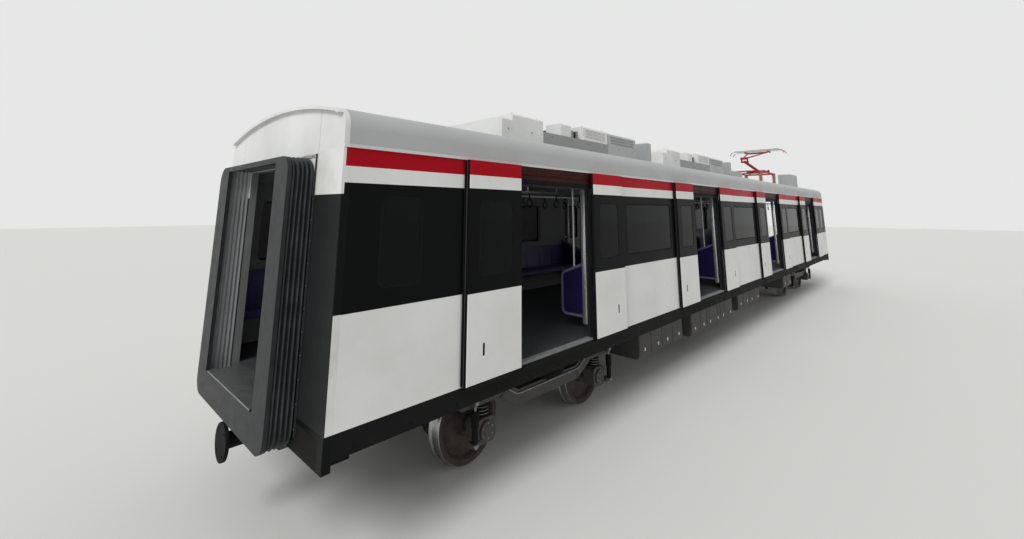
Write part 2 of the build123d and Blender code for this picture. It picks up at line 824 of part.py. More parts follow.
def collector_arms():
    # both arms are as long between pivots; the lower tube runs under the line of its pivots,
    # so that the upper one folds down over it
    a = radians(arm_rest_angle)
    kx, kz = knee_point()
    hx, hz = head_point()
    # unit steps along the lower arm towards the knee, and square to it downwards
    ux, uz = -cos(a), sin(a)
    dx, dz = -sin(a), -cos(a)
    lower = rod((mast_x, -360, mast_z), (mast_x, 360, mast_z), hinge_radius)
    lower += rod((mast_x, -200, mast_z), (mast_x, 200, mast_z), 55)
    ex, ez = kx - 60 * ux + knee_drop * dx, kz - 60 * uz + knee_drop * dz
    lower += rod((mast_x, 0, mast_z), (ex, 0, ez), arm_radius + 12)
    lower += rod((ex, -knee_fork - 26, ez), (ex, knee_fork + 26, ez), 36)
    for hand in (-1, 1):
        y = hand * knee_fork
        fork = rod((ex, y, ez), (kx, y, kz), 26)
        fork += rod((kx, y - 15, kz), (kx, y + 15, kz), 50)
        fork -= rod((kx, y - 40, kz), (kx, y + 40, kz), knee_pin_radius + hinge_clearance)
        lower += fork
    sleeve = knee_fork - 26 - 6
    upper = rod((kx, -knee_fork - 32, kz), (kx, knee_fork + 32, kz), knee_pin_radius)
    upper += rod((kx, -sleeve, kz), (kx, sleeve, kz), 42)
    end_x, end_z = hx - head_step * cos(a), hz - head_step * sin(a)
    for hand in (-1, 1):
        upper += rod((kx, hand * (sleeve - 24), kz), (end_x, hand * head_fork, end_z), arm_radius - 14)
    upper += rod((end_x, -head_fork - 18, end_z), (end_x, head_fork + 18, end_z), 29)
    for hand in (-1, 1):
        y = hand * head_fork
        tip = rod((end_x, y, end_z), (hx, y, hz), 18)
        tip += rod((hx, y - 18, hz), (hx, y + 18, hz), 32)
        tip -= rod((hx, y - 30, hz), (hx, y + 30, hz), head_pin_radius + hinge_clearance)
        upper += tip
    return lower, upper


def collector_head():
    hx, hz = head_point()
    head = rod((hx, -420, hz), (hx, 420, hz), head_pin_radius)
    strip_z = hz + strip_rise
    for hand in (-1, 1):
        head += block(hx - 210, hx + 210, hand * 400 - 12, hand * 400 + 12, hz - 14, hz + 60)
    for dx in (-1, 1):
        x = hx + dx * 190
        head += block(x - 18, x + 18, -strip_half, strip_half, hz + 50, strip_z)
        for hand in (-1, 1):
            horn = [(x, hand * (strip_half - 10), strip_z - 22), (x, hand * (strip_half + 90), strip_z - 50),
                    (x, hand * (strip_half + 170), strip_z - 170)]
            for p, q in zip(horn, horn[1:]):
                head += rod(p, q, 12)
            head += Pos(*horn[1]) * Sphere(12)
    return [head]


def wheel_profile():
    # (y, r) from the middle of the axle outwards: axle, brake disc, wheel and journal
    inner = back_to_back / 2
    outer = inner + tyre_width
    rim = tread_radius - 60
    half_line = [
        (0, axle_radius), (disc_y - disc_half, axle_radius), (disc_y - disc_half, disc_radius),
        (disc_y + disc_half, disc_radius), (disc_y + disc_half, axle_radius),
        (inner - 25, axle_radius), (inner - 25, 125), (inner + 45, 150), (inner + 35, rim - 30),
        (inner, rim), (inner, tread_radius + flange_depth - 8), (inner + 8, tread_radius + flange_depth),
        (inner + 18, tread_radius + flange_depth), (inner + flange_thick, tread_radius + 4),
        (outer - 10, tread_radius - 4), (outer, tread_radius - 12), (outer, rim), (inner + 75, rim - 30),
        (inner + 85, 150), (outer + 10, 125), (outer + 10, journal_radius + 15),
        (journal_y - journal_root, journal_radius + 15), (journal_y - journal_root, journal_radius),
        (journal_y + axlebox_outer, journal_radius),
    ]
    return half_line


def wheelset(x):
    half_line = wheel_profile()
    points = [(-y, r) for y, r in reversed(half_line)][:-1] + half_line
    points = [(points[0][0], 0)] + points + [(points[-1][0], 0)]
    plane = Plane(origin=(x, 0, axle_z), x_dir=(0, 1, 0), z_dir=(1, 0, 0))
    face = plane * polygon(points)
    return [revolve(face, Axis((x, 0, axle_z), (0, 1, 0)), 360)]


def bogie_frame(centre):
    half_line = [(beam_dip[0], beam_mid), (beam_rise[0], beam_high), (beam_half, beam_high),
                 (beam_half, beam_mid), (beam_rise[1], beam_mid), (beam_dip[1], beam_low)]
    section = polygon([(centre + x, z) for x, z in half_line]
                      + [(centre - x, z) for x, z in reversed(half_line)])
    frame = None
    for hand in (-1, 1):
        low, high = hand * journal_y - side_beam_width / 2, hand * journal_y + side_beam_width / 2
        beam = along_y(section, low, high)
        frame = beam if frame is None else frame + beam
    for dx in (-1, 1):
        x, z = centre + dx * transom_x, beam_low + 90
        frame += rod((x, -journal_y, z), (x, journal_y, z), transom_radius)
        # brake hangers reach from the transom to the discs, and a jaw straddles each disc
        edge = wheelbase / 2 - disc_radius
        for y in (-disc_y, disc_y):
            x0, x1 = sorted((x, centre + dx * (edge - jaw_outside + 5)))
            frame += block(x0, x1, y - 35, y + 35, axle_z + 30, axle_z + 110)
            a, b = sorted((centre + dx * (edge - jaw_outside), centre + dx * (edge + jaw_inside)))
            jaw = block(a, b, y - jaw_half, y + jaw_half, axle_z - 40, axle_z + 140)
            slot = disc_half + pad_clearance
            slot_a, slot_b = sorted((centre + dx * (edge - pad_clearance), centre + dx * wheelbase / 2))
            jaw -= block(slot_a, slot_b, y - slot, y + slot, axle_z - 60, axle_z + 200)
            frame += jaw
    block_low, block_high = beam_low + 20, beam_mid - 5
    frame += block(centre - 330, centre + 330, -190, 190, block_low, block_high)
    frame -= Pos(centre, 0, block_low - 10) * Cylinder(
        pivot_pin_radius + pivot_clearance, block_high - block_low + 20,
        align=(Align.CENTER, Align.CENTER, Align.MIN))
    return [frame]


def axleboxes(centre):
    # each box carries a rubber spring under the side beam and has a round cover on its end
    length, height, corner = axlebox_size
    cover_radius, cover_thick = axlebox_cover
    solids = []
    for dx in (-1, 1):
        for hand in (-1, 1):
            x = centre + dx * wheelbase / 2
            y = hand * journal_y
            low, high = sorted((y - hand * axlebox_inner, y + hand * axlebox_outer))
            box = Plane(origin=(x, low, axle_z), x_dir=(1, 0, 0), z_dir=(0, -1, 0))
            solid = extrude(box * RectangleRounded(length, height, corner), amount=high - low, dir=(0, 1, 0))
            spring_low, spring_high = axle_z + height / 2 - 5, beam_mid - seat_gap
            solid += Pos(x, y, spring_low) * Cylinder(axlebox_spring_radius, spring_high - spring_low,
                                                      align=(Align.CENTER, Align.CENTER, Align.MIN))
            bore_end = y + hand * (axlebox_outer + 2)
            solid -= rod((x, y - hand * 200, axle_z), (x, bore_end, axle_z), journal_radius + 0.1)
            face = y + hand * axlebox_outer
            solid += rod((x, face, axle_z), (x, face + hand * cover_thick, axle_z), cover_radius)
            solids.append(solid)
    return solids


def air_springs(centre):
    foot, plate = air_spring_feet
    solids = []
    for hand in (-1, 1):
        y = hand * journal_y
        low, high = beam_mid + seat_gap, bolster_foot - seat_gap
        spring = Pos(centre, y, low) * Cylinder(foot, 30, align=(Align.CENTER, Align.CENTER, Align.MIN))
        bag = Pos(centre, y, low + 30) * Cylinder(air_spring_radius, high - low - 45,
                                                  align=(Align.CENTER, Align.CENTER, Align.MIN))
        bag = fillet(bag.edges(), 60)
        spring += bag
        spring += Pos(centre, y, high - 20) * Cylinder(
            plate, 20, align=(Align.CENTER, Align.CENTER, Align.MIN))
        solids.append(spring)
    return solids


nodes = {
    "sole_bars": sole_bars(),
    "underframe": underframe(),
    "floor": floor_plate(),
    "door_tracks": door_tracks(),
    "side_panels": side_panels(),
    "window_bands": window_bands(),
    "side_glass": side_glass(),
    "cantrails": cantrails(),
    "roof": roof(),
    "ceiling": ceiling(),
    "end_walls": end_walls(),
    "bellows": bellows(),
    "gangway_frames": gangway_frames(),
    "bridge_plates": bridge_plates(),
    "door_posts": door_posts(),
    "seats": seats(),
    "screens": screens(),
    "grab_rails": grab_rails(),
    "equipment_cases": equipment_cases(),
    "air_tanks": air_tanks(),
    "couplers": couplers(),
    "hvac_units": hvac_units(),
    "roof_cases": roof_cases(),
    "collector_base": pantograph_base(),
    "insulators": insulators(),
    "collector_head": collector_head(),
}
nodes["lower_arm"], nodes["upper_arm"] = [[arm] for arm in collector_arms()]
for hand, letter in ((-1, "r"), (1, "l")):
    for number, centre in enumerate(door_centres, 1):
        for way, where in ((-1, "rear"), (1, "front")):
            nodes[f"leaf_{letter}{number}_{where}"] = leaf(centre, hand, way, opened=hand < 0)
for end, where in ((-1, "rear"), (1, "front")):
    centre = end * pivot_x
    nodes[f"bogie_frame_{where}"] = bogie_frame(centre)
    nodes[f"axleboxes_{where}"] = axleboxes(centre)
    nodes[f"air_springs_{where}"] = air_springs(centre)
    for number, dx in enumerate((-1, 1), 1):
        nodes[f"wheelset_{where}_{number}"] = wheelset(centre + dx * wheelbase / 2)

os.makedirs("parts", exist_ok=True)
for name, solids in nodes.items():
    flat = [s for shape in solids for s in shape.solids()]
    export_step(Compound(children=flat) if len(flat) > 1 else flat[0], f"parts/{name}.step")
    print(name, len(flat))
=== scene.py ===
import math
from itertools import product

import bmesh
import bpy
from mathutils import Matrix, Vector
from mathutils.geometry import tessellate_polygon


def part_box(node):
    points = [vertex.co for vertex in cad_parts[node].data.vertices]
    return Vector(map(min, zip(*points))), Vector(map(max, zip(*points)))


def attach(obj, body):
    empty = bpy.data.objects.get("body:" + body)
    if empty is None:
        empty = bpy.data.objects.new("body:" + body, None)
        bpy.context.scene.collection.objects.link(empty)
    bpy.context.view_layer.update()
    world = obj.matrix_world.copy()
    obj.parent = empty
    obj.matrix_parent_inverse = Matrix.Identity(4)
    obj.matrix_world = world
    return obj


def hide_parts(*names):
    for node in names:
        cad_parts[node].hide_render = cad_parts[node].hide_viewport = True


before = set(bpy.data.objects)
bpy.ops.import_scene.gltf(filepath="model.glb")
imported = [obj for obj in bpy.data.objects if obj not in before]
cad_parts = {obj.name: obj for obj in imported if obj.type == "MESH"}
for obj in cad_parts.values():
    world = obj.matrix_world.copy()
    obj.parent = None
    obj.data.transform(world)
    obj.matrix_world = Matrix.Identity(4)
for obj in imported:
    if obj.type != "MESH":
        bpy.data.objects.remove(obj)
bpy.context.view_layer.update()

# Sizes that several pieces share, in metres; what the frame holds is read from it
railTop = 0.028
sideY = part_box("side_panels")[1].y
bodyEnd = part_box("end_walls")[1].x
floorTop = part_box("floor")[1].z
waist, doorHead = [corner.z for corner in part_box("window_bands")]
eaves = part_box("cantrails")[1].z
whiteStripeFoot = railTop + 2.961
redStripeFoot = railTop + 3.094
endDarkTop = railTop + 2.87
trackFoot, trackTop = railTop + 3.150, railTop + 3.186
glassFoot, glassTop, glassCorner = railTop + 2.11, railTop + 2.85, 0.07
doorHalf, doorPitch = 0.70, 4.82
doorCentres = [(i - 1.5) * doorPitch for i in range(4)]
coverReach = 0.10            # covers over a doorway, past its edges
surroundDepth = 0.078        # black inside a doorway, and past its edges
passageHalf, passageTop = 0.70, floorTop + 2.0
screenReach = doorHalf + 0.21
bogieCentres = {"rear": -6.9, "front": 6.9}
wheelHalfBase = 1.1
axleZ = railTop + 0.43
unitOrigins = [start - bodyEnd for start in (2.4, 7.1)]
trayTop = railTop + 3.86
hoodEnd, condenserStart = 0.842, 2.585


# Mesh helpers

def turns(count):
    # the angles of that many equal steps round a circle
    return [2 * math.pi * i / count for i in range(count)]


def ring(spot, way, radius, sides):
    # points of a circle round a spot, square to a direction
    way = Vector(way).normalized()
    helper = Vector((0, 0, 1)) if abs(way.z) < 0.9 else Vector((1, 0, 0))
    u = way.cross(helper).normalized()
    v = way.cross(u)
    return [Vector(spot) + radius * (u * math.cos(t) + v * math.sin(t)) for t in turns(sides)]


def spread(start, stop, pitch):
    # places a pitch apart, from start and before stop
    return [start + k * pitch for k in range(math.ceil((stop - start) / pitch))]


def mirrored(half):
    # a profile of (distance, radius) with its mirror image
    return [(-distance, radius) for distance, radius in half[::-1]] + half


def addBox(bm, low, high, finish=0, bevel=0.002):
    # a box between two opposite corners, with every edge chamfered
    size = [abs(b - a) for a, b in zip(low, high)]
    middle = Matrix.Translation([(a + b) / 2 for a, b in zip(low, high)])
    verts = bmesh.ops.create_cube(bm, size=1, matrix=middle @ Matrix.Diagonal((*size, 1)))["verts"]
    edges = list(dict.fromkeys(edge for vert in verts for edge in vert.link_edges))
    for edge in edges:
        for face in edge.link_faces:
            face.material_index = finish
    cut = min(bevel, 0.225 * min(size))
    bmesh.ops.bevel(bm, geom=edges, offset=cut, segments=1, affect="EDGES", material=-1)


def addBlock(bm, x, reach, across, up, finish=0, bevel=0.002):
    # a box as long on both sides of x, between two limits in Y and two in Z
    addBox(bm, (x - reach, across[0], up[0]), (x + reach, across[1], up[1]), finish, bevel)


def addLoft(bm, loops, finish=0, capped=False):
    # quads from each loop to the next; finish may be a list with one entry for each stretch
    rows = [[bm.verts.new(p) for p in loop] for loop in loops]
    tones = finish if isinstance(finish, list) else [finish] * (len(rows) - 1)
    for a, b, tone in zip(rows, rows[1:], tones):
        for i in range(len(a)):
            bm.faces.new((a[i - 1], a[i], b[i], b[i - 1])).material_index = tone
    if capped:
        bm.faces.new(rows[0]).material_index = tones[0]
        bm.faces.new(rows[-1]).material_index = tones[-1]


def addPipe(bm, points, radius, finish=0, sides=10):
    # a bent pipe through the points
    points = [Vector(p) for p in points]
    loops = []
    for k, spot in enumerate(points):
        before, after = points[max(k - 1, 0)], points[min(k + 1, len(points) - 1)]
        loops.append(ring(spot, after - before, radius, sides))
    addLoft(bm, loops, finish, capped=True)


def addRod(bm, start, end, radius, finish=0, sides=16):
    addPipe(bm, (start, end), radius, finish, sides)


def addHoop(bm, centre, way, radius, wire, finish, steps, sides):
    # a wire bent round until its ends meet
    circle = ring(centre, way, radius, steps)
    start = steps * 3 // 4
    addPipe(bm, circle[start:] + circle[:start + 1], wire, finish, sides)


def addLathe(bm, profile, centre, axis, finish=0, steps=32):
    # profile of (distance along the axis, radius)
    centre, axis = Vector(centre), Vector(axis)
    loops = [ring(centre + axis * along, axis, max(radius, 0.0005), steps) for along, radius in profile]
    addLoft(bm, loops, finish, capped=True)


def addBolt(bm, spot, axis, size, finish=0):
    # a hexagon head on its washer
    spot, axis = Vector(spot), Vector(axis) * size
    addRod(bm, spot, spot + axis * 0.15, size * 1.1, finish, 12)
    addRod(bm, spot + axis * 0.15, spot + axis * 0.75, size * 0.9, finish, 6)


def roundedLoop(x0, x1, z0, z1, radius, steps=6, shrink=0.0):
    # points of a rounded rectangle drawn in by shrink, anticlockwise from its lower right corner
    radius = max(radius - shrink, 0.012)
    left, right = x0 + shrink + radius, x1 - shrink - radius
    low, high = z0 + shrink + radius, z1 - shrink - radius
    points = []
    for cx, cz, turn in ((right, low, -90), (right, high, 0), (left, high, 90), (left, low, 180)):
        for k in range(steps + 1):
            t = math.radians(turn + 90 * k / steps)
            points.append((cx + radius * math.cos(t), cz + radius * math.sin(t)))
    return points


def addSheet(bm, outer, holes, y, finish=0):
    # a flat sheet in an X-Z plane, with holes
    loops = [[Vector((x, z, 0)) for x, z in loop] for loop in [outer] + holes]
    verts = [bm.verts.new((p.x, y, p.y)) for loop in loops for p in loop]
    for a, b, c in tessellate_polygon(loops):
        bm.faces.new((verts[a], verts[b], verts[c])).material_index = finish


def atY(loop, y):
    return [(x, y, z) for x, z in loop]


def addSeal(bm, window, steps, width, faceY, rise, section, finish=0):
    # a ridge round a window; section holds shares of the seal's width and of its rise from the face
    loops = [atY(roundedLoop(*window, steps, width * share), faceY + rise * high) for share, high in section]
    addLoft(bm, loops, finish)


def makeMesh(bm, name, finishes, sharpAngle=32):
    # finishes: their names, with a space between, in the order of their indices
    bmesh.ops.remove_doubles(bm, verts=bm.verts, dist=0.00002)
    bmesh.ops.recalc_face_normals(bm, faces=bm.faces)
    mesh = bpy.data.meshes.new(name)
    bm.to_mesh(mesh)
    bm.free()
    for polygon in mesh.polygons:
        polygon.use_smooth = True
    mesh.set_sharp_from_angle(angle=math.radians(sharpAngle))
    for finish in finishes.split():
        mesh.materials.append(finishOf[finish])
    return mesh


def addObject(name, data):
    thing = bpy.data.objects.new(name, data)
    bpy.context.scene.collection.objects.link(thing)
    return thing


def placePiece(mesh, name, body, replaced=(), at=(0, 0, 0)):
    piece = addObject(name, mesh)
    piece.location = at
    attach(piece, body)
    if replaced:
        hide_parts(*replaced)


def finishPiece(bm, name, finishes, body="car_body", replaced=(), sharpAngle=32):
    placePiece(makeMesh(bm, name, finishes, sharpAngle), name, body, replaced)


# Material helpers

def toLinear(hexColour):
    channels = [int(hexColour[i:i + 2], 16) / 255 for i in (1, 3, 5)]
    return tuple(c / 12.92 if c <= 0.04045 else ((c + 0.055) / 1.055) ** 2.4 for c in channels) + (1.0,)


def perMetre(millimetres):
    # texture scale whose features are that far apart
    return 1000 / millimetres


def addNode(tree, kind, inputs=(), **settings):
    # inputs are named in a dictionary, or follow the order of the node's sockets
    node = tree.nodes.new("ShaderNode" + kind)
    for name, value in settings.items():
        setattr(node, name, value)
    for socket, value in inputs.items() if isinstance(inputs, dict) else enumerate(inputs):
        if isinstance(value, bpy.types.NodeSocket):
            tree.links.new(value, node.inputs[socket])
        else:
            node.inputs[socket].default_value = value
    return node


def paintedByPlace(tree, place, base, rules):
    # a colour that changes at planes; each rule is a colour and the tests that it has to pass, and later
    # rules lie over earlier ones; a test is (axis, way, limit), where way is above or below the limit, or
    # beyond or within it on both sides of the middle
    parts = addNode(tree, "SeparateXYZ", (place,)).outputs
    colour = toLinear(base)
    for over, *tests in rules:
        share = None
        for axis, way, limit in tests:
            value = parts["XYZ".index(axis)]
            if way in ("beyond", "within"):
                value = addNode(tree, "Math", (value,), operation="ABSOLUTE").outputs[0]
            passes = "GREATER_THAN" if way in ("above", "beyond") else "LESS_THAN"
            passed = addNode(tree, "Math", (value, limit), operation=passes).outputs[0]
            if share:
                passed = addNode(tree, "Math", (share, passed), operation="MULTIPLY").outputs[0]
            share = passed
        colour = addNode(tree, "Mix", {0: share, 6: colour, 7: toLinear(over)}, data_type="RGBA").outputs[2]
    return colour


def newMaterial(name):
    # a material with its shader, and the place of each point on the object
    material = bpy.data.materials.new(name)
    material.use_nodes = True
    tree = material.node_tree
    return material, tree, tree.nodes["Principled BSDF"], addNode(tree, "TexCoord").outputs["Object"]


socketOf = {"metallic": "Metallic", "ior": "IOR", "alpha": "Alpha", "sheen": "Sheen Weight",
            "specular": "Specular IOR Level", "glow": "Emission Strength"}


def makeFinish(name, spec):
    # one finish from its table of typical values
    material, tree, shader, place = newMaterial(name)
    # every MapRange takes a value, the limits that it comes between and those that it goes to
    patches = addNode(tree, "TexNoise", {"Vector": place, "Scale": perMetre(spec["patchMm"]), "Detail": 5.0,
                                         "Roughness": 0.6}).outputs["Fac"]
    if "grainMm" in spec:
        scale, way = perMetre(spec["grainMm"]), spec.get("grainWay", (1, 1, 1))
        stretched = addNode(tree, "Mapping", {"Vector": place, "Scale": way}).outputs["Vector"]
        if spec.get("studded"):
            cells = addNode(tree, "TexVoronoi", {"Vector": stretched, "Scale": scale, "Randomness": 0.0})
            height = addNode(tree, "MapRange", (cells.outputs["Distance"], 0.26, 0.34, 1.0, 0.0)).outputs[0]
        else:
            grain = addNode(tree, "TexNoise", {"Vector": stretched, "Scale": scale, "Detail": 2.0})
            height = grain.outputs["Fac"]
        bump = addNode(tree, "Bump", {"Height": height, "Strength": spec.get("grainStrength", 0.3),
                                      "Distance": spec["grainDepthMm"] / 1000})
        tree.links.new(bump.outputs["Normal"], shader.inputs["Normal"])
    clean = toLinear(spec["colour"])
    if "rules" in spec:
        clean = paintedByPlace(tree, place, spec["colour"], spec["rules"])
    if "soil" in spec:
        film = addNode(tree, "MapRange", (patches, 0.36, 0.66, 0.0, spec["soilShare"])).outputs[0]
        clean = addNode(tree, "Mix", {0: film, 6: clean, 7: toLinear(spec["soil"])},
                        data_type="RGBA", blend_type=spec.get("soilBlend", "MIX")).outputs[2]
    if isinstance(clean, bpy.types.NodeSocket):
        tree.links.new(clean, shader.inputs["Base Color"])
    else:
        shader.inputs["Base Color"].default_value = clean
    rough = addNode(tree, "MapRange", (patches, 0.3, 0.7, *spec["rough"])).outputs[0]
    tree.links.new(rough, shader.inputs["Roughness"])
    for key, socket in socketOf.items():
        if key in spec:
            shader.inputs[socket].default_value = spec[key]
    if "glow" in spec:
        shader.inputs["Emission Color"].default_value = toLinear(spec["colour"])
    return material


# Colours by place

paint = {
    "white": "#DDDEDC",
    "black": "#0E0F10",
    "red": "#A40F1E",
    "shadedRed": "#3B0E12",
    "roof": "#AEB0B0",
    # paler gutter band: painted highlight
    "gutter": "#CBCCCB",
    "endDark": "#262728",
    "chassis": "#101112",
    "lining": "#7F8181",
    "unitGrey": "#A9ACAB",
    "tray": "#8A8C8D",
    "screenFrame": "#6C6680",
    "screenPanel": "#241D48",
    "carrier": "#C4C6C4",
    "carbon": "#3A3B3C",
}


def above(z):
    return ("Z", "above", z)


def nearX(place, reach):
    # the two tests that hold within a reach of a place along the car
    return ("X", "above", place - reach), ("X", "below", place + reach)


sideBands = [(paint["black"], above(waist - 0.002)),
             (paint["white"], above(whiteStripeFoot)),
             (paint["red"], above(redStripeFoot))]
doorSurrounds = [(paint["black"], ("Y", "within", sideY + 0.004), *nearX(centre, doorHalf + surroundDepth))
                 for centre in doorCentres]
sideLining = [(paint["lining"], ("Y", "within", sideY - 0.02))]
roundCorner = ("X", "within", bodyEnd - 0.025)
endBands = [(paint["black"], above(waist)),
            (paint["endDark"], ("X", "beyond", bodyEnd - 0.007)),
            (paint["chassis"], ("Z", "below", railTop + 1.13)),
            (paint["white"], above(endDarkTop)),
            (paint["black"], roundCorner, above(endDarkTop)),
            (paint["white"], roundCorner, above(whiteStripeFoot)),
            (paint["red"], roundCorner, above(redStripeFoot)),
            (paint["lining"], ("X", "within", bodyEnd - 0.0695), ("Y", "within", sideY - 0.001)),
            (paint["lining"], ("Y", "within", passageHalf + 0.002), ("Z", "below", passageTop + 0.002))]
# a paler band along the gutter is a painted highlight
roofEdges = [(paint["gutter"], ("Z", "below", railTop + 3.2735)),
             (paint["white"], ("X", "beyond", bodyEnd - 0.043))]
trackBands = [(paint["red"], above(doorHead))]
# over a doorway the track is dark red: painted shade of the recess
trackBands += [(paint["shadedRed"], above(doorHead), *nearX(centre, doorHalf + coverReach))
               for centre in doorCentres]
screenPanels = [(paint["screenPanel"], *nearX(centre + side * screenReach, 0.010))
                for centre, side in product(doorCentres, (-1, 1))]
unitSheets = []
for origin in unitOrigins:
    unitSheets += [(paint["white"], ("X", "above", origin - 0.01)),
                   (paint["tray"], ("X", "above", origin + hoodEnd), ("Z", "below", trayTop + 0.002)),
                   (paint["unitGrey"], ("X", "above", origin + condenserStart))]
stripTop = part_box("collector_head")[1].z
headLayers = [(paint["carrier"], above(stripTop - 0.047)), (paint["carbon"], above(stripTop - 0.012))]

